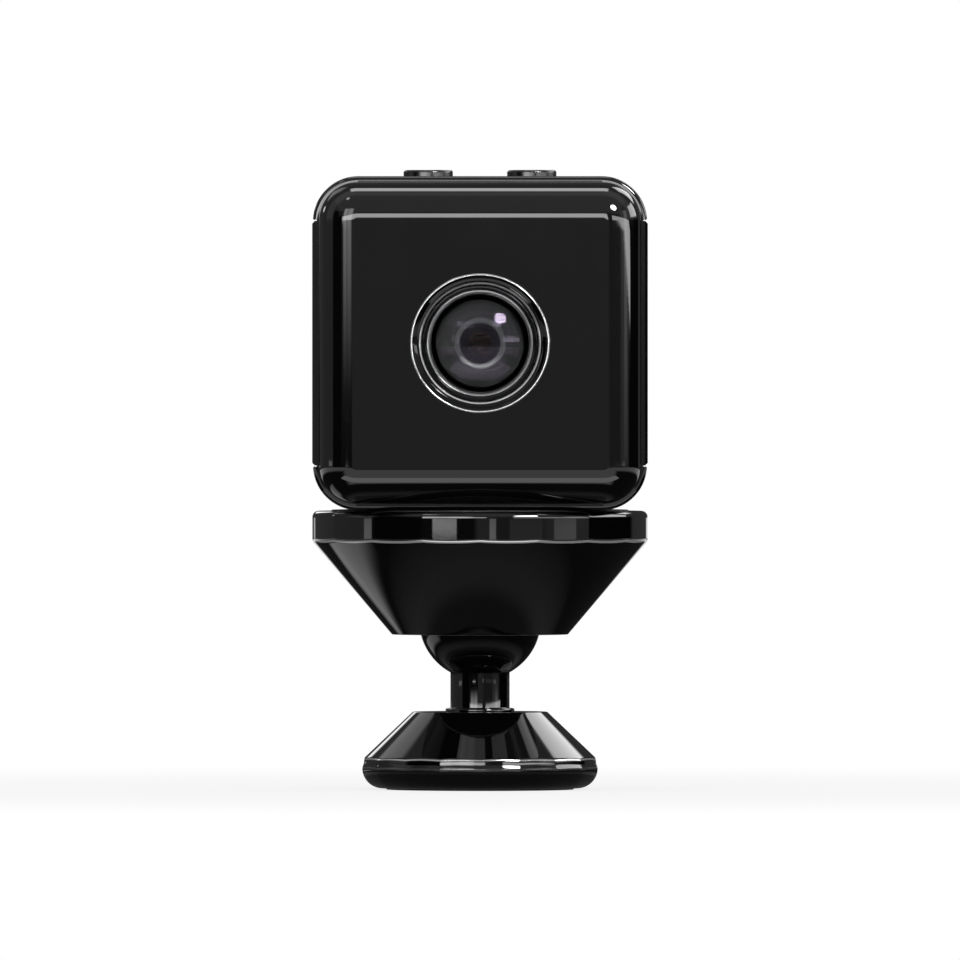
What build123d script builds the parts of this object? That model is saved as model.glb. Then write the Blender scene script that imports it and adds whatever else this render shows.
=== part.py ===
from build123d import *
import os
from math import cos, radians, sin, sqrt

# Small cube camera on a magnetic ball-joint stand. Millimetres, +Z up, the lens looks along -Y,
# and the origin is the middle of the stand's underside.

# ---- stand: fluted cone base and ball stud
BASE_FLATS = 19.1          # across the flats of the fluted rim
BASE_TOP_R = 5.45
BASE_TOP_Z = 6.3
BASE_SLOPE = 1.054         # radius gained per mm going down the cone
BASE_BOTTOM_Z = 0.1
BASE_UNDER_FILLET = 1.6
BASE_RIM_FILLET = 0.35
BASE_BORE_R = 7.7          # room for the weight and the pad
BASE_WALL_Z = 4.9          # underside of the top wall
PAD_R = 7.6
PAD_TOP_Z = 0.5
WEIGHT_TOP_Z = 2.6
WEIGHT_HOLE_R = 2.4

BALL_R = 5.0
BALL_Z = 13.87
NECK_R = 2.4
COLLAR_R = 2.8
COLLAR_HEIGHT = 0.3
SPIGOT_R = 1.6
STUD_SCREW_R = 0.8
STUD_SCREW_TIP_Z = 8.5
STUD_HEAD_R = 1.9
STUD_HEAD_HEIGHT = 1.0

# ---- magnetic holder that turns on the ball
FLUTES = 18
HOLDER_FLATS = 27.2
HOLDER_BOTTOM_R = 7.15
HOLDER_BOTTOM_Z = 12.57
HOLDER_TOP_Z = 22.6
HOLDER_SLOPE = 0.852       # radius gained per mm going up the cone
HOLDER_TOP_FILLET = 0.5
HOLDER_EDGE_FILLET = 0.3
RIDGE_R = 1.2
SOCKET_CLEARANCE = 0.08
SEAT_TOP_Z = 15.1
SOCKET_BORE_R = 6.2
SOCKET_TUBE_R = 6.75
POCKET_R = 10.9            # pocket of the ring magnet
POCKET_Z = 18.4
YOKE_TOP_Z = 19.4
MAGNET_TOP_Z = 22.0
MAGNET_HOLE_R = 6.85
MAGNET_R = 10.85
CORE_FLOOR_Z = 15.6
CORE_INNER_R = 7.6
CORE_FLOOR_R = 8.1
CORE_TOP_R = 10.3
RIBS = 6
RIB_WIDTH = 0.9
GRIP_R = 12.05
GRIP_TOP_Z = 22.7
SHELL_CAP = 0.3            # wall of each spherical cap over the ball
LINER_ANGLE = 32.0
CUP_ANGLE = 34.0
SPRING_INNER_R = 3.2
SPRING_OUTER_R = 5.7
SPRING_THICKNESS = 0.25
RETAINER_Z = 19.7
RETAINER_TOP_Z = 21.3
RETAINER_HOLE_R = 2.5

# ---- camera cube, in its own frame: x right, y up, z forwards out of the lens
CUBE = 27.0
CUBE_Z = GRIP_TOP_Z + CUBE / 2
CUBE_CORNER_R = 3.65
CUBE_WALL = 1.5
FACE = 13.3                # front face, from the middle of the cube
SEAM = 10.2                # where the covers meet the shell
LIP_FILLET = 0.35
COVER = 26.0
COVER_CORNER_R = 3.1
COVER_FILLET = 2.85
COVER_WALL = 1.6
COVER_FACE_WALL = 1.2
SPIGOT_DEPTH = 1.8
SPIGOT_WALL = 1.0
PANEL_HALF = 9.88
PANEL_SEAT = 12.75
PANEL_PROUD = 0.05
GROOVE = 0.22              # half diagonal of the V groove along each panel edge
BOSS_AT = 8.8
BOSS_R = 1.5
PILOT_R = 0.6
VENT_COUNT = 9
VENT_PITCH = 1.2

# ---- lens, along the camera's z axis
TRIM_R = 5.68
TRIM_HOLE_R = 4.75
TRIM_SEAT = 12.8
TRIM_TOP = 13.62
BARREL_R = 4.7
BARREL_MOUTH_R = 4.2
BARREL_BACK = 11.4
THREAD_R = 3.55
THREAD_END = 5.9
LENS_R = 3.9
LENS_EDGE = 12.15
LENS_APEX = 13.45
LENS_BACK = 11.5
LENS_HOLLOW_R = 3.3
LENS_HOLLOW_TOP = 12.66
BORE_R = 2.6
STOP_R = 1.6
STOP_Z = 11.0
DISH_R = 2.15              # shallow dish around the stop
DISH_Z = 11.4
ELEMENT_R = BORE_R - 0.05
ELEMENT_SAG = 0.25
MIDDLE_FLANGE = (9.0, 9.7)
MIDDLE_DOME_R = 1.23
MIDDLE_APEX = 10.5
MIDDLE_BACK_R = 1.6
MIDDLE_BACK = 8.75
REAR_LENS = (6.5, 7.9)

# ---- boards and what is on them
MAIN_FRONT = -1.5
MAIN_BACK = -2.5
MAIN_HALF = 10.4
SENSOR_FRONT = 2.7
SENSOR_BACK = 1.9
LED_BOARD_BACK = 10.4
LED_BOARD_FRONT = 11.1
LED_CIRCLE_R = 7.6
LED_COUNT = 6
SENSOR_POST_X = 6.8
USB_Y = -3.2
USB_WIDTH = 7.5
USB_HEIGHT = 2.6
CARD_Y = -0.6
CARD_WIDTH = 12.0
CARD_HEIGHT = 1.4
CARD_SLOT = 11.4
MIC_Y = 5.0
MIC_Z = 4.5
RESET_Y = -4.9
RESET_Z = -0.85

# ---- top buttons
BUTTON_X = 4.2
BUTTON_R = 2.0
BUTTON_PROUD = 0.55
BUTTON_CLEARANCE = 0.08
FLANGE_R = 2.5
SWITCH_BOARD_Y = 8.3
SWITCH_BOARD_TOP = 9.1
SWITCH_TOP = 10.4
STEM_END = 11.0

KEEPER_R = 7.0
KEEPER_BOTTOM = -11.95
KEEPER_TOP = -10.75

CUBE_INNER = CUBE / 2 - CUBE_WALL
CAMERA = Plane(origin=(0, 0, CUBE_Z), x_dir=(1, 0, 0), z_dir=(0, -1, 0))


# ---------------------------------------------------------------- shared shapes
def disc(radius, low, high):
    """Cylinder about Z between two heights."""
    return Pos(0, 0, low) * extrude(Circle(radius), high - low)


def ring(outer, inner, low, high):
    """Flat ring about Z between two heights."""
    return Pos(0, 0, low) * extrude(Circle(outer) - Circle(inner), high - low)


def block(x, y, z):
    """Box between the given (low, high) pairs."""
    size = [high - low for low, high in (x, y, z)]
    middle = [(high + low) / 2 for low, high in (x, y, z)]
    return Pos(*middle) * Box(*size)


def plate(width, corner, low, high):
    """Square plate with round corners about Z between two heights."""
    return Pos(0, 0, low) * extrude(RectangleRounded(width, width, corner), high - low)


def turned(points):
    """Solid turned about Z from a closed outline of (radius, height) points."""
    outline = make_face(Polyline([(r, 0, z) for r, z in points], close=True))
    return revolve(outline, Axis.Z)


def rod_x(radius, x_low, x_high, y, z):
    """Cylinder along X."""
    return Pos(x_low, y, z) * Rot(0, 90, 0) * disc(radius, 0, x_high - x_low)


def rod_y(radius, y_low, y_high, x, z):
    """Cylinder along Y."""
    return Pos(x, y_low, z) * Rot(-90, 0, 0) * disc(radius, 0, y_high - y_low)


def corners(offset):
    """The four places at the same distance from both middle planes."""
    return [(sx * offset, sy * offset) for sx in (-1, 1) for sy in (-1, 1)]


def fluted_prism(flats, low, high):
    """Upright prism with a ridge straight ahead and softened ridges."""
    ridge_radius = flats / 2 / cos(radians(180 / FLUTES))
    outline = Rot(0, 0, -90) * RegularPolygon(ridge_radius, FLUTES)
    outline = fillet(outline.vertices(), RIDGE_R)
    return Pos(0, 0, low) * extrude(outline, high - low)


def spherical_cap(inner, outer, half_angle):
    """Dome of even wall around the ball's centre."""

    def at(radius, angle):
        return (radius * sin(radians(angle)), 0, BALL_Z + radius * cos(radians(angle)))

    outline = [
        Line(at(inner, 0), at(outer, 0)),
        ThreePointArc(at(outer, 0), at(outer, half_angle / 2), at(outer, half_angle)),
        Line(at(outer, half_angle), at(inner, half_angle)),
        ThreePointArc(at(inner, half_angle), at(inner, half_angle / 2), at(inner, 0)),
    ]
    return revolve(make_face(outline), Axis.Z)


def crown(apex, edge, radius):
    """Spherical arc from the axis at height apex out to the given radius at height edge."""
    sag = apex - edge
    sphere = (radius**2 + sag**2) / 2 / abs(sag)
    rise = sphere - sqrt(sphere**2 - radius**2 / 4)
    middle = apex - rise if sag > 0 else apex + rise
    return ThreePointArc((0, 0, apex), (radius / 2, 0, middle), (radius, 0, edge))


def screw(shank, head, low, seat, high):
    """Pan-head screw along Z: tip at low, head from seat to high, with a cross recess."""
    body = disc(shank, low, seat) + fillet(
        disc(head, seat, high).edges().group_by(Axis.Z)[-1], (high - seat) / 3
    )
    recess_depth = (high - seat) * 0.6
    for angle in (0, 90):
        slot = block((-head * 0.6, head * 0.6), (-head * 0.14, head * 0.14), (high - recess_depth, high))
        body -= Rot(0, 0, angle) * slot
    return body


# ---------------------------------------------------------------- stand
def base_shell():
    """Cone with a fluted rim, hollow below."""
    prism = fluted_prism(BASE_FLATS, BASE_BOTTOM_Z, BASE_TOP_Z)
    prism = fillet(prism.edges().group_by(Axis.Z)[0], BASE_UNDER_FILLET)
    foot_r = BASE_FLATS / 2 + 0.4
    foot_z = BASE_TOP_Z - (foot_r - BASE_TOP_R) / BASE_SLOPE
    cone = turned([(0, 0), (foot_r, 0), (foot_r, foot_z), (BASE_TOP_R, BASE_TOP_Z), (0, BASE_TOP_Z)])
    body = prism & cone
    rim = [e for e in body.edges() if BASE_TOP_Z / 3 < e.center().Z < BASE_TOP_Z / 2]
    rim = [e for e in rim if abs(e.tangent_at(0.5).Z) < 0.3]
    body = fillet(rim, BASE_RIM_FILLET)
    body = fillet(body.edges().group_by(Axis.Z)[-1], 0.15)
    ledge_r = BASE_BORE_R - 0.8
    cavity = turned([
        (0, 0), (BASE_BORE_R, 0), (BASE_BORE_R, WEIGHT_TOP_Z), (ledge_r, WEIGHT_TOP_Z),
        (4.2, BASE_WALL_Z), (0, BASE_WALL_Z),
    ])
    return body - cavity - disc(SPIGOT_R + 0.02, 0, BASE_TOP_Z)


def base_weight():
    """Steel disc that seats against the ledge in the base."""
    return ring(BASE_BORE_R - 0.05, WEIGHT_HOLE_R, PAD_TOP_Z, WEIGHT_TOP_Z)


def base_pad():
    """Round foot pad, flush with the bottom."""
    return disc(PAD_R, 0, PAD_TOP_Z)


def ball_stud():
    """Ball on a neck, with a collar on the base and a tapped spigot through it."""
    neck = disc(NECK_R, BASE_TOP_Z, BALL_Z - BALL_R / 2)
    collar = disc(COLLAR_R, BASE_TOP_Z, BASE_TOP_Z + COLLAR_HEIGHT)
    collar = fillet(collar.edges().group_by(Axis.Z)[-1], COLLAR_HEIGHT * 0.6)
    spigot = disc(SPIGOT_R, BASE_WALL_Z, BASE_TOP_Z)
    body = Pos(0, 0, BALL_Z) * Sphere(BALL_R) + neck + collar + spigot
    return body - disc(STUD_SCREW_R, BASE_WALL_Z, STUD_SCREW_TIP_Z + 0.5)


def stud_screw():
    """Screw from below that pulls the stud onto the base."""
    head_low = BASE_WALL_Z - STUD_HEAD_HEIGHT
    upright = screw(STUD_SCREW_R, STUD_HEAD_R, -STUD_SCREW_TIP_Z, -BASE_WALL_Z, -head_low)
    return Rot(180, 0, 0) * upright


# ---------------------------------------------------------------- holder
def holder_shell():
    """Fluted cone cup: ball seat below, ring-magnet pocket above."""
    prism = fluted_prism(HOLDER_FLATS, HOLDER_BOTTOM_Z, HOLDER_TOP_Z)
    prism = fillet(prism.edges().group_by(Axis.Z)[-1], HOLDER_TOP_FILLET)
    wide_r = HOLDER_FLATS / 2 + 0.6
    wide_z = HOLDER_BOTTOM_Z + (wide_r - HOLDER_BOTTOM_R) / HOLDER_SLOPE
    cone = turned([
        (0, HOLDER_BOTTOM_Z), (HOLDER_BOTTOM_R, HOLDER_BOTTOM_Z), (wide_r, wide_z),
        (wide_r, HOLDER_TOP_Z), (0, HOLDER_TOP_Z),
    ])
    body = prism & cone
    middle = (HOLDER_BOTTOM_Z + HOLDER_TOP_Z) / 2
    rim = [e for e in body.edges() if middle < e.center().Z < HOLDER_TOP_Z - 2 * HOLDER_TOP_FILLET]
    rim = [e for e in rim if abs(e.tangent_at(0.5).Z) < 0.3]
    body = fillet(rim, HOLDER_EDGE_FILLET)
    body -= Pos(0, 0, BALL_Z) * Sphere(BALL_R + SOCKET_CLEARANCE)
    body -= disc(SOCKET_BORE_R, SEAT_TOP_Z, HOLDER_TOP_Z)
    body -= ring(POCKET_R, SOCKET_TUBE_R, POCKET_Z, HOLDER_TOP_Z)
    body -= disc(GRIP_R + 0.05, MAGNET_TOP_Z, HOLDER_TOP_Z)
    body -= disc(SOCKET_TUBE_R, MAGNET_TOP_Z - 0.4, HOLDER_TOP_Z)
    core = turned([
        (CORE_INNER_R, CORE_FLOOR_Z), (CORE_FLOOR_R, CORE_FLOOR_Z),
        (CORE_TOP_R, POCKET_Z), (CORE_INNER_R, POCKET_Z),
    ])
    for k in range(RIBS):
        rib = block((0, POCKET_R), (-RIB_WIDTH / 2, RIB_WIDTH / 2), (CORE_FLOOR_Z, POCKET_Z))
        core -= Rot(0, 0, k * 360 / RIBS) * rib
    return body - core


def socket_liner():
    """Thin friction dome over the top of the ball."""
    inner = BALL_R + SOCKET_CLEARANCE
    return spherical_cap(inner, inner + SHELL_CAP, LINER_ANGLE)


def pressure_cup():
    """Steel dome that passes the spring's force to the liner."""
    inner = BALL_R + 2 * SOCKET_CLEARANCE + SHELL_CAP
    return spherical_cap(inner, inner + SHELL_CAP, CUP_ANGLE)


def disc_spring():
    """Conical spring washer between the cup and the retaining ring."""
    rim_low = RETAINER_Z - SPRING_THICKNESS
    cup_r = BALL_R + 2 * (SOCKET_CLEARANCE + SHELL_CAP) + SOCKET_CLEARANCE
    hub_low = BALL_Z + sqrt(cup_r**2 - SPRING_INNER_R**2)
    return turned([
        (SPRING_INNER_R, hub_low), (SPRING_OUTER_R, rim_low),
        (SPRING_OUTER_R, RETAINER_Z), (SPRING_INNER_R, hub_low + SPRING_THICKNESS),
    ])


def retaining_ring():
    """Screwed ring with two spanner holes that closes the socket."""
    body = ring(SOCKET_BORE_R - 0.05, RETAINER_HOLE_R, RETAINER_Z, RETAINER_TOP_Z)
    for side in (-1, 1):
        body -= Pos(side * (RETAINER_HOLE_R + SOCKET_BORE_R) / 2, 0) * disc(0.6, RETAINER_Z, RETAINER_TOP_Z)
    return body


def magnet_yoke():
    """Flat steel ring behind the magnet."""
    return ring(MAGNET_R, MAGNET_HOLE_R, POCKET_Z, YOKE_TOP_Z)


def magnet():
    """Ring magnet."""
    return ring(MAGNET_R, MAGNET_HOLE_R, YOKE_TOP_Z, MAGNET_TOP_Z)


def grip_pad():
    """Thin soft disc that the camera stands on."""
    pad = disc(GRIP_R, MAGNET_TOP_Z, GRIP_TOP_Z)
    return fillet(pad.edges().group_by(Axis.Z)[-1], 0.08)


# ---------------------------------------------------------------- camera casing
def side_openings():
    """Everything cut through the two side walls, in the camera's frame."""
    outside = CUBE / 2 + 1
    usb_low = MAIN_BACK - USB_HEIGHT - 0.1
    usb = block(
        (CUBE_INNER - 1, outside),
        (USB_Y - USB_WIDTH / 2 - 0.1, USB_Y + USB_WIDTH / 2 + 0.1),
        (usb_low, MAIN_BACK + 0.1),
    )
    usb = fillet(usb.edges().filter_by(Axis.X), 0.6)
    slot_z = MAIN_FRONT + CARD_HEIGHT / 2
    card = block(
        (CUBE_INNER - 1, outside),
        (CARD_Y - CARD_SLOT / 2, CARD_Y + CARD_SLOT / 2),
        (slot_z - 0.5, slot_z + 0.5),
    )
    sound = rod_x(0.5, -outside, -CUBE_INNER + 1, MIC_Y, MIC_Z)
    reset = rod_x(0.6, -outside, -CUBE_INNER + 1, RESET_Y, RESET_Z)
    return [usb, card, sound, reset]


def main_shell():
    """Square sleeve with round corners, seats for the side panels, bosses and button holes."""
    body = plate(CUBE, CUBE_CORNER_R, -SEAM, SEAM)
    ends = body.edges().group_by(Axis.Z)
    body = fillet(ends[0] + ends[-1], LIP_FILLET)
    body -= plate(2 * CUBE_INNER, CUBE_CORNER_R - CUBE_WALL, -SEAM, SEAM)
    for x, y in corners(BOSS_AT):
        boss = Pos(x, y) * disc(BOSS_R, -SEAM, MAIN_BACK)
        angle = 45 if x * y > 0 else -45
        reach = CUBE_INNER - BOSS_AT
        middle = BOSS_AT + reach * 0.45
        web = Pos(middle * x / BOSS_AT, middle * y / BOSS_AT) * Rot(0, 0, angle)
        web *= block((-reach * 0.6, reach * 0.6), (-0.6, 0.6), (-SEAM, MAIN_BACK))
        body += boss + web
        body -= Pos(x, y) * disc(PILOT_R, -SEAM, -SEAM + 4)
        body -= Pos(x, y) * disc(PILOT_R, MAIN_BACK - 3, MAIN_BACK)
    for side in (-1, 1):
        outside = sorted((side * PANEL_SEAT, side * CUBE))
        body -= block(outside, (-PANEL_HALF - 0.02, PANEL_HALF + 0.02), (-SEAM, SEAM))
        for level in (-1, 1):
            groove = Rot(0, 0, 45) * Box(GROOVE * sqrt(2), GROOVE * sqrt(2), 2 * SEAM)
            body -= Pos(side * CUBE / 2, level * (PANEL_HALF + 0.02)) * groove
        body -= rod_y(BUTTON_R + BUTTON_CLEARANCE, CUBE_INNER - 0.5, CUBE, side * BUTTON_X, 0)
        body += rod_y(0.9, SWITCH_BOARD_TOP, CUBE_INNER + 0.5, 0, side * 1.5)
        body -= rod_y(0.4, SWITCH_BOARD_TOP, SWITCH_BOARD_TOP + 2, 0, side * 1.5)
    rib = rod_y(KEEPER_R + 0.8, -CUBE_INNER - 0.5, KEEPER_TOP - 0.2, 0, 0)
    rib -= rod_y(KEEPER_R + 0.1, -CUBE_INNER, KEEPER_TOP, 0, 0)
    body += rib
    for opening in side_openings():
        body -= opening
    return body


def side_panel(side):
    """Flat panel let into one side; side is -1 for left and 1 for right."""
    edge = CUBE / 2 + PANEL_PROUD
    panel = block((PANEL_SEAT, edge), (-PANEL_HALF, PANEL_HALF), (-SEAM, SEAM))
    outer_edges = panel.edges().group_by(Axis.X)[-1]
    panel = chamfer(outer_edges, GROOVE)
    if side < 0:
        panel = mirror(panel, about=Plane.YZ)
    for opening in side_openings():
        panel -= opening
    return panel


def cover_blank():
    """Deeply rounded cover with a spigot that enters the shell, facing forwards."""
    body = plate(COVER, COVER_CORNER_R, SEAM, FACE)
    body = fillet(body.edges().group_by(Axis.Z)[-1], COVER_FILLET)
    hollow = plate(COVER - 2 * COVER_WALL, COVER_CORNER_R - COVER_WALL, SEAM, FACE - COVER_FACE_WALL)
    hollow = fillet(hollow.edges().group_by(Axis.Z)[-1], COVER_CORNER_R - COVER_WALL - 0.1)
    spigot_width = 2 * CUBE_INNER - 0.1
    spigot = plate(spigot_width, CUBE_CORNER_R - CUBE_WALL, SEAM - SPIGOT_DEPTH, SEAM)
    spigot -= plate(spigot_width - 2 * SPIGOT_WALL, 1.1, SEAM - SPIGOT_DEPTH, SEAM)
    for x, y in corners(CUBE_INNER - 1):
        spigot -= Pos(x, y, SEAM - SPIGOT_DEPTH / 2) * Box(5, 5, SPIGOT_DEPTH)
    return body - hollow + spigot


def front_cover():
    """Front cover with the lens opening, its counterbore, and posts for the two front boards."""
    body = cover_blank()
    inner_face = FACE - COVER_FACE_WALL
    for x, y in corners(BOSS_AT - 0.8):
        body += Pos(x, y) * disc(0.9, LED_BOARD_FRONT, inner_face)
    for side in (-1, 1):
        post = Pos(side * SENSOR_POST_X, 0)
        body += post * disc(1.0, SENSOR_FRONT, inner_face)
        body -= post * disc(0.45, SENSOR_FRONT, SENSOR_FRONT + 3)
    body -= disc(TRIM_HOLE_R, inner_face, FACE)
    return body - disc(TRIM_R + 0.02, TRIM_SEAT, FACE)


def rear_cover():
    """Rear cover with vents and four screw seats."""
    body = cover_blank()
    inner_face = FACE - COVER_FACE_WALL
    for x, y in corners(BOSS_AT):
        seat = Pos(x, y)
        body += seat * disc(BOSS_R, SEAM, inner_face)
        body -= seat * disc(PILOT_R + 0.1, SEAM, FACE)
        body -= seat * disc(1.15, FACE - 0.8, FACE)
    for k in range(VENT_COUNT):
        x = (k - (VENT_COUNT - 1) / 2) * VENT_PITCH
        for level in (-1, 1):
            slot = Pos(x, level * 6.9, inner_face) * extrude(SlotOverall(2.4, 0.6, rotation=90), 2)
            body -= slot
    return Rot(0, 180, 0) * body


def rear_screws():
    """Four screws through the rear cover into the shell's bosses."""
    one = screw(PILOT_R, 1.0, SEAM - 3.5, FACE - 0.8, FACE - 0.1)
    return [Rot(0, 180, 0) * Pos(x, y) * one for x, y in corners(BOSS_AT)]


def button(side):
    """Round push button, kept in by a flange; side is -1 for power and 1 for mode."""
    cap = rod_y(BUTTON_R, CUBE_INNER - 0.3, CUBE / 2 + BUTTON_PROUD, 0, 0)
    cap = fillet(cap.edges().group_by(Axis.Y)[-1], 0.2)
    flange = rod_y(FLANGE_R, CUBE_INNER - 0.55, CUBE_INNER - 0.05, 0, 0)
    stem = rod_y(0.8, STEM_END, CUBE_INNER - 0.5, 0, 0)
    return Pos(side * BUTTON_X, 0) * (cap + flange + stem)


def keeper_plate():
    """Steel disc in the camera's floor that the magnet pulls on."""
    return rod_y(KEEPER_R, KEEPER_BOTTOM, KEEPER_TOP, 0, 0)


# ---------------------------------------------------------------- lens
def lens_trim_ring():
    """Ring around the lens: raised rim, dished inner slope and a small inner bead."""
    return turned([
        (TRIM_HOLE_R, TRIM_SEAT), (TRIM_R, TRIM_SEAT), (TRIM_R, TRIM_TOP - 0.12),
        (TRIM_R - 0.04, TRIM_TOP - 0.04), (TRIM_R - 0.12, TRIM_TOP), (TRIM_R - 0.24, TRIM_TOP),
        (5.0, FACE - 0.02), (4.94, FACE + 0.08), (4.86, FACE + 0.12), (TRIM_HOLE_R, FACE + 0.12),
    ])


def lens_barrel():
    """Lens tube: wide front flange with a bevelled mouth, threaded neck behind."""
    return turned([
        (STOP_R, DISH_Z - 0.04), (DISH_R, DISH_Z), (DISH_R + 0.1, LENS_BACK),
        (LENS_R + 0.05, LENS_BACK), (LENS_R + 0.05, FACE - 0.4),
        (BARREL_MOUTH_R, FACE - 0.05), (BARREL_MOUTH_R + 0.1, FACE), (BARREL_R - 0.12, FACE),
        (BARREL_R, FACE - 0.12), (BARREL_R, BARREL_BACK), (THREAD_R, BARREL_BACK),
        (THREAD_R, THREAD_END), (BORE_R, THREAD_END), (BORE_R, STOP_Z), (STOP_R, STOP_Z),
    ])


def front_lens():
    """Domed front glass with a hollow back."""
    outline = [
        crown(LENS_APEX, LENS_EDGE, LENS_R),
        Line((LENS_R, 0, LENS_EDGE), (LENS_R, 0, LENS_BACK)),
        Line((LENS_R, 0, LENS_BACK), (LENS_HOLLOW_R, 0, LENS_BACK)),
        crown(LENS_HOLLOW_TOP, LENS_BACK, LENS_HOLLOW_R),
        Line((0, 0, LENS_HOLLOW_TOP), (0, 0, LENS_APEX)),
    ]
    return revolve(make_face(outline), Axis.Z)


def middle_lens():
    """Moulded glass element: flat flange, small steep dome in front, shallow dome behind."""
    low, high = MIDDLE_FLANGE
    outline = [
        crown(MIDDLE_APEX, high, MIDDLE_DOME_R),
        Line((MIDDLE_DOME_R, 0, high), (ELEMENT_R, 0, high)),
        Line((ELEMENT_R, 0, high), (ELEMENT_R, 0, low)),
        Line((ELEMENT_R, 0, low), (MIDDLE_BACK_R, 0, low)),
        crown(MIDDLE_BACK, low, MIDDLE_BACK_R),
        Line((0, 0, MIDDLE_BACK), (0, 0, MIDDLE_APEX)),
    ]
    return revolve(make_face(outline), Axis.Z)


def rear_lens():
    """Glass element, rounded on both sides, with a straight edge."""
    low, high = REAR_LENS
    outline = [
        crown(high, high - ELEMENT_SAG, ELEMENT_R),
        Line((ELEMENT_R, 0, high - ELEMENT_SAG), (ELEMENT_R, 0, low + ELEMENT_SAG)),
        crown(low, low + ELEMENT_SAG, ELEMENT_R),
        Line((0, 0, low), (0, 0, high)),
    ]
    return revolve(make_face(outline), Axis.Z)


def aperture_disc():
    """Thin stop with the pupil hole."""
    return ring(ELEMENT_R, 0.9, STOP_Z - 0.2, STOP_Z)


def lens_spacers():
    """Three rings that hold the inner elements apart."""
    inset = ELEMENT_SAG * 0.6
    gaps = [
        (THREAD_END, REAR_LENS[0] + inset),
        (REAR_LENS[1] - inset, MIDDLE_FLANGE[0]),
        (MIDDLE_FLANGE[1], STOP_Z - 0.2),
    ]
    return [ring(ELEMENT_R, 2.1, low, high) for low, high in gaps]


def lens_holder():
    """Square foot with a threaded tube for the barrel, hollow over the sensor."""
    foot_top = 5.2
    body = block((-4.7, 4.7), (-4.7, 4.7), (SENSOR_FRONT, foot_top))
    body = fillet(body.edges().filter_by(Axis.Z), 0.6)
    body += disc(4.5, foot_top, 9.4)
    body -= disc(THREAD_R + 0.05, foot_top - 0.4, 9.4)
    body -= block((-3.7, 3.7), (-3.7, 3.7), (SENSOR_FRONT, 4.3))
    return body - block((-2.3, 2.3), (-2.3, 2.3), (4.3, foot_top))


# ---------------------------------------------------------------- boards
def main_board():
    """Board across the cube, notched for the button board, with four screw holes."""
    body = block((-MAIN_HALF, MAIN_HALF), (-9.9, MAIN_HALF), (MAIN_BACK, MAIN_FRONT))
    body -= block((-7.2, 7.2), (7.5, MAIN_HALF), (MAIN_BACK, MAIN_FRONT))
    for x, y in corners(BOSS_AT):
        body -= Pos(x, y) * disc(PILOT_R + 0.1, MAIN_BACK, MAIN_FRONT)
    return body


def board_screws():
    """Four screws through the main board into the shell's bosses."""
    one = screw(PILOT_R, 1.0, MAIN_BACK - 2.5, MAIN_FRONT, MAIN_FRONT + 0.6)
    return [Pos(x, y) * one for x, y in corners(BOSS_AT)]


def sensor_board():
    """Small board behind the lens, on the two long posts."""
    body = block((-8, 8), (-6, 6), (SENSOR_BACK, SENSOR_FRONT))
    for side in (-1, 1):
        body -= Pos(side * SENSOR_POST_X, 0) * disc(0.55, SENSOR_BACK, SENSOR_FRONT)
    return body


def sensor_screws():
    """Two screws from behind into the long posts."""
    one = Rot(180, 0, 0) * screw(0.45, 0.9, -SENSOR_FRONT - 2, -SENSOR_BACK, -SENSOR_BACK + 0.6)
    return [Pos(side * SENSOR_POST_X, 0) * one for side in (-1, 1)]


def led_board():
    """Square ring board around the barrel, with holes for the long posts."""
    body = plate(19, 1.0, LED_BOARD_BACK, LED_BOARD_FRONT) - disc(5.1, LED_BOARD_BACK, LED_BOARD_FRONT)
    for side in (-1, 1):
        body -= Pos(side * SENSOR_POST_X, 0) * disc(1.15, LED_BOARD_BACK, LED_BOARD_FRONT)
    return body


def ir_leds():
    """Infrared lamps in a ring, each a chip with a small dome."""
    one = block((-0.8, 0.8), (-0.8, 0.8), (LED_BOARD_FRONT, LED_BOARD_FRONT + 0.4))
    one += Pos(0, 0, LED_BOARD_FRONT + 0.2) * Sphere(0.6)
    one -= block((-1, 1), (-1, 1), (LED_BOARD_BACK, LED_BOARD_FRONT))
    turn = 360 / LED_COUNT
    return [Rot(0, 0, turn * (k + 0.5)) * Pos(LED_CIRCLE_R, 0) * one for k in range(LED_COUNT)]


def light_sensor():
    """Photocell that switches the infrared lamps, between two of them."""
    return Rot(0, 0, 60) * Pos(LED_CIRCLE_R, 0) * disc(0.7, LED_BOARD_FRONT, LED_BOARD_FRONT + 0.6)


def status_led():
    """Small lamp above the lens, between two infrared lamps."""
    lamp = block((-0.5, 0.5), (-0.4, 0.4), (LED_BOARD_FRONT, LED_BOARD_FRONT + 0.5))
    return Rot(0, 0, 120) * Pos(LED_CIRCLE_R, 0) * lamp


def usb_port():
    """Metal socket with a tongue, open to the right."""
    mouth = CUBE / 2 - 0.3
    low_z = MAIN_BACK - USB_HEIGHT
    body = block((6.0, mouth), (USB_Y - USB_WIDTH / 2, USB_Y + USB_WIDTH / 2), (low_z, MAIN_BACK))
    body = fillet(body.edges().filter_by(Axis.X), 0.5)
    inner = USB_WIDTH / 2 - 0.3
    body -= block((7.5, mouth), (USB_Y - inner, USB_Y + inner), (low_z + 0.3, MAIN_BACK - 0.3))
    return body + block((7.4, mouth - 1), (USB_Y - 2.4, USB_Y + 2.4), (low_z + 0.9, low_z + 1.5))


def card_socket():
    """Memory-card socket with its slot to the right."""
    body = block(
        (-1.5, CUBE_INNER - 0.05),
        (CARD_Y - CARD_WIDTH / 2, CARD_Y + CARD_WIDTH / 2),
        (MAIN_FRONT, MAIN_FRONT + CARD_HEIGHT),
    )
    middle = MAIN_FRONT + CARD_HEIGHT / 2
    half = CARD_SLOT / 2 - 0.1
    return body - block((1, CUBE_INNER), (CARD_Y - half, CARD_Y + half), (middle - 0.45, middle + 0.45))


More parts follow.
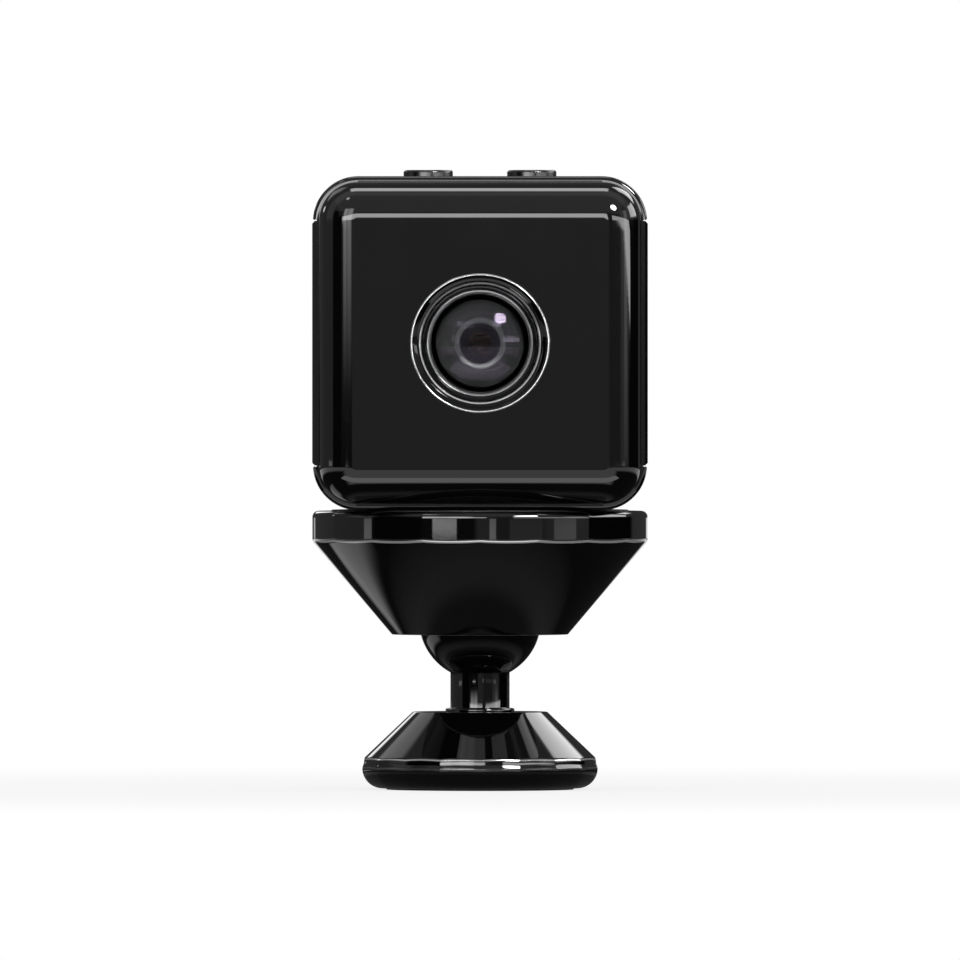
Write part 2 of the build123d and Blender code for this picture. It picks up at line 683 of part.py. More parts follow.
def small_parts():
    """Capacitors and other small chips in rows on the back of the main board."""
    chips = []
    for row in range(3):
        for k in range(5):
            x, y = -9.2 + k * 1.9, -6.2 + row * 1.6
            chips.append(block((x, x + 1.1), (y, y + 0.7), (MAIN_BACK - 0.5, MAIN_BACK)))
    return chips


def flex_cable():
    """Thin ribbon that turns back between the sensor board and the main board."""
    upper, lower = SENSOR_BACK - 0.35, MAIN_FRONT + 0.3
    bend = (upper - lower) / 2
    turn_y = -7.4
    route = Line((-4.5, -5.6, upper), (-4.5, turn_y, upper))
    middle = (upper + lower) / 2
    route += ThreePointArc(
        (-4.5, turn_y, upper), (-4.5, turn_y - bend, middle), (-4.5, turn_y, lower)
    )
    section = Plane(origin=route @ 0, z_dir=route % 0, x_dir=(1, 0, 0)) * Rectangle(4.6, 0.12)
    return sweep(section, route)


def flex_connectors():
    """One ribbon connector on each board."""
    upper = block((-7.0, -2.0), (-5.6, -4.6), (SENSOR_BACK - 0.7, SENSOR_BACK))
    lower = block((-7.0, -2.0), (-7.4, -6.4), (MAIN_FRONT, MAIN_FRONT + 0.6))
    return [upper, lower]


def wire(points, radius, bend):
    """Round wire along straight runs with round bends."""
    route = FilletPolyline(points, radius=bend)
    section = Plane(origin=route @ 0, z_dir=route % 0) * Circle(radius)
    return sweep(section, route)


def battery_leads():
    """Two wires from the cell to the back of the main board."""
    leads = []
    for x in (-1.0, 1.0):
        route = [(x, 8.5, -8), (x, 9.9, -8), (x, 9.9, -5), (x, 6.8, -5), (x, 6.8, MAIN_BACK)]
        leads.append(wire(route, 0.35, 0.6))
    return leads


def battery():
    """Flat pouch cell."""
    cell = block((-6.9, 6.9), (-8.5, 8.5), (-10.6, -6.0))
    return fillet(cell.edges().filter_by(Axis.Y), 1.2)


def antenna_lead():
    """Thin coaxial lead from the antenna to the radio module."""
    return wire([(-11.4, 2.5, -3.5), (-11.4, 4.6, -3.5), (-11.4, 4.6, -0.9), (-9.0, 4.6, -0.9)], 0.3, 0.5)


def button_board():
    """Narrow board under the two buttons, screwed to posts in the roof."""
    body = block((-6.9, 6.9), (SWITCH_BOARD_Y, SWITCH_BOARD_TOP), (-2.6, 2.6))
    for side in (-1, 1):
        body -= rod_y(0.5, SWITCH_BOARD_Y, SWITCH_BOARD_TOP, 0, side * 1.5)
    return body


def button_board_screws():
    """Two screws from below into the roof posts."""
    head_low = SWITCH_BOARD_Y - 0.5
    one = screw(0.4, 0.8, -SWITCH_BOARD_TOP - 1.8, -SWITCH_BOARD_Y, -head_low)
    return [Pos(0, 0, side * 1.5) * Rot(90, 0, 0) * one for side in (-1, 1)]


def tact_switches():
    """Two push switches with short plungers."""
    one = block((-1.5, 1.5), (SWITCH_BOARD_TOP, SWITCH_TOP), (-1.5, 1.5))
    one += rod_y(0.7, SWITCH_TOP, STEM_END - 0.35, 0, 0)
    return [Pos(side * BUTTON_X, 0) * one for side in (-1, 1)]


# ---------------------------------------------------------------- write every sub-part
def save(name, shape, place=None):
    """Write one sub-part, moved from the camera's frame when a place is given."""
    solids = list(shape) if isinstance(shape, (list, ShapeList)) else [shape]
    if place is not None:
        solids = [place.location * solid for solid in solids]
    whole = solids[0] if len(solids) == 1 else Compound(children=solids)
    export_step(whole, f"parts/{name}.step")


STAND_PARTS = {
    "base_shell": base_shell,
    "base_weight": base_weight,
    "base_pad": base_pad,
    "ball_stud": ball_stud,
    "stud_screw": stud_screw,
    "socket_liner": socket_liner,
    "pressure_cup": pressure_cup,
    "holder_shell": holder_shell,
    "disc_spring": disc_spring,
    "retaining_ring": retaining_ring,
    "magnet_yoke": magnet_yoke,
    "magnet": magnet,
    "grip_pad": grip_pad,
}

CAMERA_PARTS = {
    "keeper_plate": keeper_plate,
    "main_shell": main_shell,
    "front_cover": front_cover,
    "rear_cover": rear_cover,
    "side_panel_left": lambda: side_panel(-1),
    "side_panel_right": lambda: side_panel(1),
    "rear_screws": rear_screws,
    "power_button": lambda: button(-1),
    "mode_button": lambda: button(1),
    "lens_trim_ring": lens_trim_ring,
    "lens_barrel": lens_barrel,
    "front_lens": front_lens,
    "aperture_disc": aperture_disc,
    "lens_spacers": lens_spacers,
    "middle_lens": middle_lens,
    "rear_lens": rear_lens,
    "ir_cut_filter": lambda: block((-2.8, 2.8), (-2.8, 2.8), (4.0, 4.3)),
    "lens_holder": lens_holder,
    "image_sensor": lambda: block((-2.7, 2.7), (-2.5, 2.5), (SENSOR_FRONT, SENSOR_FRONT + 0.8)),
    "sensor_board": sensor_board,
    "sensor_screws": sensor_screws,
    "led_board": led_board,
    "ir_leds": ir_leds,
    "light_sensor": light_sensor,
    "status_led": status_led,
    "main_board": main_board,
    "board_screws": board_screws,
    "processor": lambda: block((-8.2, -2.2), (-4.5, 1.5), (MAIN_FRONT, MAIN_FRONT + 0.9)),
    "wifi_module": lambda: block((-9.0, -2.0), (2.1, 7.1), (MAIN_FRONT, MAIN_FRONT + 1.2)),
    "memory_chip": lambda: block((-8.0, -2.0), (-0.6, 4.4), (MAIN_BACK - 0.8, MAIN_BACK)),
    "small_parts": small_parts,
    "usb_port": usb_port,
    "card_socket": card_socket,
    "reset_switch": lambda: block((-10.4, -8.4), (-6.5, -3.3), (MAIN_FRONT, MAIN_FRONT + 1.3)),
    "microphone": lambda: rod_x(1.5, -CUBE_INNER + 0.05, -CUBE_INNER + 1.3, MIC_Y, MIC_Z),
    "antenna": lambda: block((-CUBE_INNER + 0.05, -CUBE_INNER + 0.25), (-4, 4), (-8.2, -1.8)),
    "antenna_lead": antenna_lead,
    "flex_cable": flex_cable,
    "flex_connectors": flex_connectors,
    "battery": battery,
    "battery_pad": lambda: block((-5, 5), (-5, 5), (-12.1, -10.6)),
    "battery_leads": battery_leads,
    "button_board": button_board,
    "button_board_screws": button_board_screws,
    "tact_switches": tact_switches,
}

os.makedirs("parts", exist_ok=True)
for part_name, make in STAND_PARTS.items():
    save(part_name, make())
for part_name, make in CAMERA_PARTS.items():
    save(part_name, make(), CAMERA)
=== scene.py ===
from math import asin, atan, atan2, cos, degrees, pi, radians, sin, sqrt, tan

import bmesh
import bpy
from bpy.props import FloatProperty, FloatVectorProperty, IntProperty, PointerProperty
from mathutils import Matrix, Vector


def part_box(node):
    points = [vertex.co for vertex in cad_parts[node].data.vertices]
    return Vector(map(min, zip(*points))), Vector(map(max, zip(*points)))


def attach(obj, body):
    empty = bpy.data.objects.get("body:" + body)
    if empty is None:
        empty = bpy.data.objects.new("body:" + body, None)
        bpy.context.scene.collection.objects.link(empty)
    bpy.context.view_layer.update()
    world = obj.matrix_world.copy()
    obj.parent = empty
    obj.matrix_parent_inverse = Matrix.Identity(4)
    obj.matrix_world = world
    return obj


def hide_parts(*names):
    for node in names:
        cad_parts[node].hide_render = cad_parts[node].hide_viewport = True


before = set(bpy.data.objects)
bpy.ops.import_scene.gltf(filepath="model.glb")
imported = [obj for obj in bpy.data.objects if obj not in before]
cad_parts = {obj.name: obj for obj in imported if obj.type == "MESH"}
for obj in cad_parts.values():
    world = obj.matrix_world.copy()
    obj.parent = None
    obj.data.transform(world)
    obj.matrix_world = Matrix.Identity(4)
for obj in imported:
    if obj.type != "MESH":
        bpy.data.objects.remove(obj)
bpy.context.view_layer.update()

bl_info = {
    "name": "Cube camera on a magnetic stand",
    "version": (1, 0, 0),
    "blender": (4, 5, 0),
    "location": "3D View > Sidebar > Cube Camera",
    "description": "Smooth casings, glass, finishes and a small studio around the camera's frame",
    "category": "Object",
}

MM = 0.001
FINISHES = {}
BASE_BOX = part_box("base_shell")
HOLDER_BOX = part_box("holder_shell")
STUD_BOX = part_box("ball_stud")
SHELL_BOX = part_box("main_shell")
COVER_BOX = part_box("front_cover")
TRIM_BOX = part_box("lens_trim_ring")
BARREL_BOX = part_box("lens_barrel")
GLASS_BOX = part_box("front_lens")
BUTTON_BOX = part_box("mode_button")
GRIP_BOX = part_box("grip_pad")
MAGNET_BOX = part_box("magnet")

CUBE_CENTRE_Z = (SHELL_BOX[0].z + SHELL_BOX[1].z) / 2
# The camera's own frame: x to the right, y up, z forwards out of the lens.
CAMERA_FRAME = Matrix.Translation((0, 0, CUBE_CENTRE_Z)) @ Matrix.Rotation(pi / 2, 4, "X")
SHARP_ANGLE = radians(32)
TURN_STEPS = 144


# ---- sizes and colours
def length(size, description):
    """A size, given in mm and kept in metres."""
    return FloatProperty(description=description, default=size * MM, min=0.0, unit="LENGTH")


def colour(tone, description):
    """A linear colour."""
    return FloatVectorProperty(
        description=description, default=tone, size=3, min=0.0, max=1.0, subtype="COLOR",
    )


class StandSizes(bpy.types.PropertyGroup):
    """Base, ball stud and magnetic holder."""

    flutes: IntProperty(description="Flat faces around each rim", default=18, min=6)
    ridge: length(1.2, "Rounding between two flat faces")
    swing: FloatProperty(
        description="Half the angle that each crowned face turns through", default=radians(7),
        subtype="ANGLE",
    )
    base_top: length(5.45, "Radius of the base's flat top")
    base_slope: FloatProperty(description="Radius gained per height", default=1.054)
    base_under: length(1.6, "Rounding under the rim")
    base_bore: length(7.7, "Radius of the room for weight and pad")
    ball: length(5.0, "Radius of the ball")
    neck: length(2.4, "Radius of the neck")
    collar: length(2.8, "Radius of the collar on the base")
    holder_bottom: length(7.15, "Radius of the cone's lower end")
    holder_slope: FloatProperty(description="Radius gained per height", default=0.852)
    holder_rim: length(0.4, "Bevel where the cone meets the rim")
    holder_top: length(0.5, "Rounding of the upper edge")
    socket_gap: length(0.08, "Play between ball and holder")


class CasingSizes(bpy.types.PropertyGroup):
    """Sleeve, covers and buttons, in the camera's own frame."""

    corner: length(3.65, "Corner radius of the sleeve")
    wall: length(1.5, "Wall of the sleeve")
    seam: length(10.2, "Where the covers meet the sleeve, from the middle")
    lip: length(0.35, "Rounding of the sleeve's two ends")
    cover_corner: length(3.1, "Corner radius of the covers")
    cover_edge: length(2.85, "Rounding of the covers' front edge")
    cover_wall: length(1.6, "Side wall of the covers")
    face_wall: length(1.2, "Thickness of the covers' faces")
    panel_half: length(9.9, "Half width of each side panel")
    panel_seat: length(12.75, "Depth of the panels' seats from the middle")
    groove: length(0.22, "Half width of the groove along each panel")
    button_place: length(4.2, "Distance of each button from the middle")
    button: length(2.0, "Radius of each button")


class LensSizes(bpy.types.PropertyGroup):
    """Rings and glass along the lens axis."""

    trim: length(5.68, "Outer radius of the trim ring")
    crest: length(5.52, "Radius of the trim ring's crest")
    # The bevels' brightness is painted highlight in the trim ring's finish.
    bevel: length(0.18, "Width of the bright bevels")
    trim_hole: length(4.75, "Inner radius of the trim ring")
    barrel: length(4.7, "Outer radius of the barrel's flange")
    mouth: length(4.2, "Radius of the barrel's bevelled mouth")
    glass: length(3.9, "Radius of the front glass")
    hollow: length(3.3, "Radius of the hollow behind the front glass")
    dish: length(2.06, "Radius of the shallow dish around the stop")
    bore: length(2.6, "Radius of the bore behind the front glass")
    stop: length(1.6, "Radius of the stop")


class Finishes(bpy.types.PropertyGroup):
    """Colours of the finishes."""

    gloss_black: colour((0.0022, 0.0022, 0.0024), "Polished black plastic of the casing")
    stand_black: colour((0.0018, 0.0018, 0.0019), "Polished black plastic of the stand")
    soft_black: colour((0.012, 0.012, 0.013), "Satin black of the inner parts")
    rubber: colour((0.016, 0.016, 0.017), "Grip pad and foot")
    steel: colour((0.55, 0.55, 0.56), "Plain steel")
    board: colour((0.012, 0.09, 0.035), "Circuit boards")
    floor: colour((0.86, 0.86, 0.86), "Floor of the studio")


class Studio(bpy.types.PropertyGroup):
    """View and light."""

    distance: length(2000, "Viewing distance")
    view_width: length(77.9, "Width of the picture at the object")
    view_middle: length(25.1, "Height of the picture's middle")
    tent: length(500, "Radius of the light tent")
    floor: length(420, "Radius of the floor")


class CubeCamera(bpy.types.PropertyGroup):
    """Everything that can be changed."""

    stand: PointerProperty(type=StandSizes)
    casing: PointerProperty(type=CasingSizes)
    lens: PointerProperty(type=LensSizes)
    finishes: PointerProperty(type=Finishes)
    studio: PointerProperty(type=Studio)


# ---- node expressions
class Value:
    """An output socket; each operator adds the Math node that works it out."""

    def __init__(self, tree, socket):
        self.tree, self.socket = tree, socket

    def maths(self, operation, *others):
        return add_node(self.tree, "Math", (self, *others), operation=operation)[0]

    def __add__(self, other):
        return self.maths("ADD", other)

    def __sub__(self, other):
        return self.maths("SUBTRACT", other)

    def __mul__(self, other):
        return self.maths("MULTIPLY", other)

    def __truediv__(self, other):
        return self.maths("DIVIDE", other)

    def __or__(self, other):
        return self.maths("MAXIMUM", other)

    def __rsub__(self, other):
        return add_node(self.tree, "Math", (other, self), operation="SUBTRACT")[0]

    def __neg__(self):
        return self * -1.0

    __radd__ = __add__


class Outputs:
    """The outputs of one node, by name or number."""

    def __init__(self, tree, node):
        self.tree, self.node = tree, node

    def __getitem__(self, key):
        return Value(self.tree, self.node.outputs[key])


def add_node(tree, kind, sockets=(), **settings):
    """Add a node: its settings, then the values or links of its sockets, by name or in order."""
    node = tree.nodes.new("ShaderNode" + kind)
    for name, value in settings.items():
        setattr(node, name, value)
    for name, value in sockets.items() if isinstance(sockets, dict) else enumerate(sockets):
        if isinstance(value, Value):
            tree.links.new(value.socket, node.inputs[name])
        else:
            node.inputs[name].default_value = value
    return Outputs(tree, node)


def vector(tree, operation, *values, output="Vector"):
    """Vector maths; a length or a dot product comes from the output called Value."""
    return add_node(tree, "VectorMath", values, operation=operation)[output]


def new_tree(name):
    """An empty material."""
    material = bpy.data.materials.new(name)
    material.use_nodes = True
    material.node_tree.nodes.clear()
    return material, material.node_tree


def object_point(tree):
    """Object coordinates."""
    return add_node(tree, "TexCoord")["Object"]


def place_of(tree, stretch=(1, 1, 1), turn=(0, 0, 0)):
    """Object coordinates, stretched or turned."""
    sockets = {"Vector": object_point(tree), "Scale": stretch, "Rotation": turn}
    return add_node(tree, "Mapping", sockets)[0]


def noise(tree, place, scale, detail=3.0, rough=0.5):
    """Cloudy value from 0 to 1."""
    sockets = {"Vector": place, "Scale": scale, "Detail": detail, "Roughness": rough}
    return add_node(tree, "TexNoise", sockets)["Fac"]


def cells(tree, place, scale, output="Distance"):
    """Distance from the nearest of many scattered points, or a tone for each."""
    return add_node(tree, "TexVoronoi", {"Vector": place, "Scale": scale})[output]


def stripes(tree, place, scale):
    """Even waves across X, from 0 to 1."""
    sockets = {"Vector": place, "Scale": scale}
    return add_node(tree, "TexWave", sockets, bands_direction="X")["Fac"]


def ranged(tree, value, low, high, to_low=0.0, to_high=1.0, smooth=False):
    """Value carried from one range to another and held inside it."""
    settings = {"interpolation_type": "SMOOTHSTEP" if smooth else "LINEAR", "clamp": True}
    return add_node(tree, "MapRange", (value, low, high, to_low, to_high), **settings)[0]


def window(tree, value, low, high, soft):
    """1 between two limits, with soft ends."""
    opens = ranged(tree, value, low - soft, low + soft, smooth=True)
    closes = ranged(tree, value, high - soft, high + soft, smooth=True)
    return opens * (1.0 - closes)


def mixed(tree, share, first, second):
    """Two colours mixed by a share."""
    return add_node(tree, "Mix", {0: share, 6: first, 7: second}, data_type="RGBA")[2]


def bumped(tree, height, strength, distance):
    """Normal from a height."""
    sockets = {"Height": height, "Strength": strength, "Distance": distance}
    return add_node(tree, "Bump", sockets)[0]


def rgba(tone, factor=1.0):
    """Colour with alpha, scaled."""
    return (*(min(1.0, channel * factor) for channel in tone), 1.0)


def shades(tone, dark, light):
    """A darker and a lighter shade of one colour."""
    return rgba(tone, dark), rgba(tone, light)


def surface(material, sockets):
    """Finish a material with one Principled shader."""
    tree = material.node_tree
    add_node(tree, "OutputMaterial", {"Surface": add_node(tree, "BsdfPrincipled", sockets)[0]})
    return material


# ---- finishes
def polished_plastic(name, tone, roughness=0.035, edges=None, matt=None, painted_shade=None):
    """Mirror-like moulded plastic with a trace of flow and orange peel.

    edges gives painted highlight, bands of bright white metal that stand in for highlight lines;
    matt gives rough bands; the last gives painted shade, bands of near-black metal that dim the
    reflection.
    """
    material, tree = new_tree(name)
    place = place_of(tree)
    flow = noise(tree, place, 260.0)
    peel = noise(tree, place, 2600.0, detail=1.0)
    # Painted highlight: inside the edge bands the surface turns bright and metallic.
    bright = edges(tree, place) if edges else 0.0
    body = mixed(tree, flow, *shades(tone, 0.8, 1.2))
    gloss = ranged(tree, flow, 0.3, 0.7, roughness * 0.8, roughness * 1.25)
    if edges:
        gloss = gloss + bright * 0.22
    if matt:
        gloss = gloss + matt(tree, place) * 0.5
    return surface(material, {
        # Painted highlight: the edge bands take a near-white colour.
        "Base Color": mixed(tree, bright, body, (0.9, 0.9, 0.92, 1.0)) if edges else body,
        # Painted shade: the last bands add metal with the near-black colour, which dims the
        # reflection.
        "Metallic": bright + painted_shade(tree, place) if painted_shade else bright,
        "Roughness": gloss,
        "IOR": 1.5,
        "Normal": bumped(tree, peel, 0.04, 0.004 * MM),
    })


def bands(tree, value, limits):
    """Sum of bands over a value in metres; limits in mm, with each band's softness and share."""
    total = 0.0
    for low, high, soft, share in limits:
        total = total + window(tree, value, low * MM, high * MM, soft * MM) * share
    return total


def lens_edges(*limits):
    """Bands by the distance from the lens axis."""
    def build(tree, place):
        from_axis = vector(tree, "SUBTRACT", place, (0, 0, CUBE_CENTRE_Z))
        across = vector(tree, "MULTIPLY", from_axis, (1, 0, 1))
        return bands(tree, vector(tree, "LENGTH", across, output="Value"), limits)

    return build


def crease_edges(end_radius, end_z, slope, up, *limits):
    """Bands by the height past a cone's own surface, towards its rim."""
    def build(tree, place):
        height = add_node(tree, "SeparateXYZ", (place,))["Z"]
        flat = vector(tree, "MULTIPLY", place, (1, 1, 0))
        radius = vector(tree, "LENGTH", flat, output="Value")
        return bands(tree, (height - end_z) * up - (radius - end_radius) / slope, limits)

    return build


def grained(name, tones, cloud, shine=None, grain=None, relief=None, fixed=None,
            stretch=(1, 1, 1), start=0.3):
    """Two tones mixed by one noise, roughness and relief from another.

    cloud and grain hold a noise's scale and detail, shine the two roughnesses, relief the
    bump's strength and distance, and fixed the constant sockets. Without grain the cloud
    does both. The roughness changes from the noise value start up to 0.7.
    """
    material, tree = new_tree(name)
    clouds = noise(tree, place_of(tree), *cloud)
    grains = noise(tree, place_of(tree, stretch), *grain) if grain else clouds
    sockets = {"Base Color": mixed(tree, clouds, *tones), **(fixed or {})}
    if shine:
        sockets["Roughness"] = ranged(tree, grains, start, 0.7, *shine)
    if relief:
        sockets["Normal"] = bumped(tree, grains, *relief)
    return surface(material, sockets)


def satin_plastic(name, tone, roughness, sheen=0.5):
    """Fine eroded texture on moulded plastic; sheen is the specular level."""
    return grained(
        name, shades(tone, 0.75, 1.3), (320.0,), (roughness - 0.06, roughness + 0.08),
        (5200.0, 2.0), (0.3, 0.02 * MM), {"Specular IOR Level": sheen},
    )


def machined_metal(name, tone, roughness=0.28, stretch=(1, 1, 24)):
    """Metal with fine tool marks."""
    return grained(
        name, shades(tone, 0.82, 1.1), (300.0,), (roughness * 0.7, roughness * 1.4),
        (900.0, 4.0), (0.12, 0.01 * MM), {"Metallic": 1.0}, stretch,
    )


def wire_skin(name, tone):
    """Extruded insulation."""
    return grained(name, shades(tone, 0.8, 1.2), (1500.0,), (0.3, 0.42))


def coated_glass(name, bloom):
    """Optical glass; bloom is what its anti-reflection coating leaves of the reflection."""
    return grained(name, ((0.9, 0.93, 0.94, 1.0), (0.96, 0.97, 0.97, 1.0)), (2400.0, 4.0), fixed={
        "Roughness": 0.0, "IOR": 1.62, "Transmission Weight": 1.0, "Specular Tint": bloom,
    })


def soft_rubber(name, tone):
    """Matt rubber with a fine dimple."""
    material, tree = new_tree(name)
    place = place_of(tree)
    cloud = noise(tree, place, 420.0)
    return surface(material, {
        "Base Color": mixed(tree, cloud, *shades(tone, 0.7, 1.4)),
        "Roughness": ranged(tree, cloud, 0.3, 0.7, 0.62, 0.78),
        "Normal": bumped(tree, cells(tree, place, 2600.0), 0.35, 0.03 * MM),
    })


def circuit_board(name, tone):
    """Solder mask over copper tracks, with tinned pads."""
    material, tree = new_tree(name)
    place = place_of(tree, turn=(pi / 2, 0, 0))
    bricks = {
        "Vector": place, "Scale": 520.0, "Mortar Size": 0.06, "Brick Width": 1.3,
        "Row Height": 0.34,
    }
    tracks = add_node(tree, "TexBrick", bricks)["Fac"]
    pads = 1.0 - ranged(tree, cells(tree, place, 700.0), 0.14, 0.17)
    mask = mixed(tree, tracks, *shades(tone, 1.0, 1.9))
    return surface(material, {
        "Base Color": mixed(tree, pads, mask, (0.62, 0.55, 0.36, 1.0)),
        "Metallic": pads,
        "Roughness": ranged(tree, pads, 0.0, 1.0, 0.34, 0.24),
        "Normal": bumped(tree, tracks, 0.3, 0.02 * MM),
    })


def ceramic_parts(name):
    """Small fired parts in two tones, mottled."""
    material, tree = new_tree(name)
    place = place_of(tree)
    share = ranged(tree, cells(tree, place, 420.0, "Color"), 0.35, 0.6)
    grain = noise(tree, place, 3800.0)
    tones = mixed(tree, share, (0.32, 0.2, 0.1, 1.0), (0.1, 0.075, 0.055, 1.0))
    return surface(material, {
        "Base Color": mixed(tree, grain * 0.5, tones, (0.5, 0.42, 0.34, 1.0)),
        "Roughness": ranged(tree, grain, 0.3, 0.7, 0.4, 0.6),
    })


def amber_ribbon(name):
    """Copper tracks under amber film."""
    material, tree = new_tree(name)
    tracks = stripes(tree, place_of(tree), 900.0)
    return surface(material, {
        "Base Color": mixed(tree, tracks, (0.3, 0.09, 0.012, 1.0), (0.55, 0.22, 0.05, 1.0)),
        "Roughness": ranged(tree, tracks, 0.0, 1.0, 0.22, 0.34),
        "Coat Weight": 0.6,
        "Coat Roughness": 0.12,
    })


def open_foam(name):
    """Foam pad with open pores."""
    material, tree = new_tree(name)
    pores = cells(tree, place_of(tree), 1900.0)
    return surface(material, {
        "Base Color": mixed(tree, pores, (0.02, 0.02, 0.022, 1.0), (0.07, 0.07, 0.075, 1.0)),
        "Roughness": ranged(tree, pores, 0.0, 1.0, 0.95, 0.8),
        "Normal": bumped(tree, pores, 0.6, 0.1 * MM),
    })


def sensor_array(name):
    """Rows of photosites under micro-lenses."""
    material, tree = new_tree(name)
    rows = stripes(tree, place_of(tree, turn=(pi / 2, 0, 0)), 2600.0)
    return surface(material, {
        "Base Color": mixed(tree, rows, (0.018, 0.03, 0.034, 1.0), (0.05, 0.07, 0.09, 1.0)),
        "Metallic": 0.6,
        "Roughness": ranged(tree, rows, 0.0, 1.0, 0.16, 0.3),
    })


def finish_table(sizes):
    """One material for each of the record's slots."""
    tones, stand = sizes.finishes, sizes.stand
    # Painted highlight: bright metal bands along the crease between the base's cone and rim stand
    # in for highlight lines.
    base_painted_highlight = crease_edges(
        stand.base_top, BASE_BOX[1].z, stand.base_slope, -1,
        (0.03, 0.1, 0.012, 0.5), (0.58, 0.74, 0.02, 0.06),
    )
    # Painted highlight: a bright metal band along the crease between the holder's cone and rim
    # stands in for a highlight line.
    holder_painted_highlight = crease_edges(
        stand.holder_bottom, HOLDER_BOX[0].z, stand.holder_slope, 1, (0.015, 0.12, 0.01, 0.55),
    )
    # Painted highlight on the trim ring: bright metal bands on its inner bevel and its crest.
    # Painted shade: a near-black metal band between them, given with the ring's finish below.
    trim_painted_highlight = lens_edges((4.74, 4.9, 0.01, 0.8), (5.48, 5.63, 0.01, 0.8))
    # Painted highlight on the barrel: bright metal bands round the stop and on the mouth's bevel.
    # Painted shade: near-black metal bands, given with the barrel's finish below, darken the dish
    # under the glass and the flange.
    barrel_painted_highlight = lens_edges((1.6, 2.02, 0.03, 0.08), (4.11, 4.26, 0.01, 0.8))
    return {
        "stand_black": polished_plastic("stand black", tones.stand_black, edges=base_painted_highlight),
        "stud_black": polished_plastic("stud black", tones.stand_black, 0.03),
        "holder_black": polished_plastic("holder black", tones.stand_black, edges=holder_painted_highlight),
        "shell_black": polished_plastic("shell black", tones.gloss_black),
        "cover_black": polished_plastic("cover black", tones.gloss_black),
        "panel_black": polished_plastic("panel black", tones.gloss_black, 0.05),
        "button_black": polished_plastic("button black", tones.gloss_black, 0.22),
        "trim_black": polished_plastic(
            "trim black", tones.gloss_black, edges=trim_painted_highlight,
            painted_shade=lens_edges((4.95, 5.4, 0.03, 0.55)),
        ),
        "barrel_black": polished_plastic(
            "barrel black", tones.gloss_black, 0.05, barrel_painted_highlight,
            matt=lens_edges((2.05, 4.06, 0.01, 1.0)),
            painted_shade=lens_edges((2.05, 4.06, 0.01, 0.25), (4.32, 4.7, 0.02, 0.75)),
        ),
        "inner_black": satin_plastic("inner black", rgba(tones.soft_black, 0.35)[:3], 0.5, 0.1),
        "grip_rubber": soft_rubber("grip rubber", tones.rubber),
        "foot_rubber": soft_rubber("foot rubber", tones.rubber),
        "nylon": satin_plastic("nylon", (0.62, 0.6, 0.55), 0.3),
        "connector_white": satin_plastic("connector white", (0.66, 0.64, 0.58), 0.42),
        "steel": machined_metal("steel", tones.steel),
        "nickel": machined_metal("nickel plate", (0.66, 0.62, 0.55), 0.16),
        "screw_black": machined_metal("black screws", (0.05, 0.05, 0.055), 0.3, (1, 1, 1)),
        "tin_plate": machined_metal("tin plate", (0.62, 0.61, 0.6), 0.22, (1, 1, 1)),
        "board_green": circuit_board("circuit board", tones.board),
        "chip_black": grained(
            "moulded chip", shades((0.014, 0.014, 0.015), 0.7, 1.5), (4200.0, 4.0), (0.42, 0.6),
            relief=(0.35, 0.01 * MM),
        ),
        "ceramic": ceramic_parts("ceramic parts"),
        "flex_amber": amber_ribbon("amber ribbon"),
        "pouch_foil": grained(
            "cell foil", ((0.42, 0.43, 0.45, 1.0), (0.66, 0.67, 0.69, 1.0)), (520.0, 5.0, 0.6),
            (0.28, 0.44), relief=(0.3, 0.08 * MM), fixed={"Metallic": 1.0},
        ),
        "foam": open_foam("open foam"),
        "lead_red": wire_skin("red wire", (0.42, 0.015, 0.012)),
        "lead_black": wire_skin("black wire", (0.014, 0.014, 0.014)),
        "front_glass": coated_glass("front glass", (0.16, 0.13, 0.19, 1.0)),
        "lens_glass": coated_glass("inner glass", (0.2, 0.13, 0.07, 1.0)),
        "filter_glass": grained(
            "filter glass", ((0.34, 0.62, 0.6, 1.0), (0.42, 0.7, 0.66, 1.0)), (1200.0,),
            (0.0, 0.02), start=0.4, fixed={
                "IOR": 1.52, "Transmission Weight": 1.0, "Thin Film Thickness": 520.0,
                "Thin Film IOR": 1.9,
            },
        ),
        "sensor_chip": sensor_array("sensor array"),
        "led_resin": grained(
            "lamp resin", ((0.2, 0.18, 0.2, 1.0), (0.5, 0.47, 0.5, 1.0)), (900.0,), (0.05, 0.12),
            fixed={"Transmission Weight": 0.6, "IOR": 1.5},
        ),
    }


# ---- shaping
def loft(bm, places, closed=True):
    """Grow a wall from bm's outline, row by row; a row's place says where a point goes."""
    outline = bm.verts.layers.float_vector.new("outline")
    for vert in bm.verts:
        vert[outline] = vert.co
        vert.co = places[0](vert[outline])
    edges = list(bm.edges)
    for place in places[1:] + (places[:1] if closed else []):
        grown = bmesh.ops.extrude_edge_only(bm, edges=edges)["geom"]
        edges = [
            part for part in grown if isinstance(part, bmesh.types.BMEdge) and part.is_boundary
        ]
        for vert in (part for part in grown if isinstance(part, bmesh.types.BMVert)):
            vert.co = place(vert[outline])


def at_radius(radius, z):
    """Every outline point goes to a circle."""
    return lambda point: point.normalized() * radius + Vector((0, 0, z))


def circles(*rows):
    """A row at each radius and height."""
    return [at_radius(*row) for row in rows]


def moved_in(inset, z):
    """Every outline point moves towards the axis."""
    return lambda point: point - point.normalized() * inset + Vector((0, 0, z))


def quarter(steps, start=0.0, end=90.0):
    """Angles of a rounding, in radians."""
    return [radians(start + (end - start) * k / steps) for k in range(steps + 1)]


def rounded(edge, z, up, steps, start=0.0, end=90.0):
    """Insets and heights of the rounding round a flat face at z; up is 1 or -1, as it looks."""
    return [
        (edge * (1 - cos(angle)), z - up * edge * (1 - sin(angle)))
        for angle in quarter(steps, start, end)
    ]


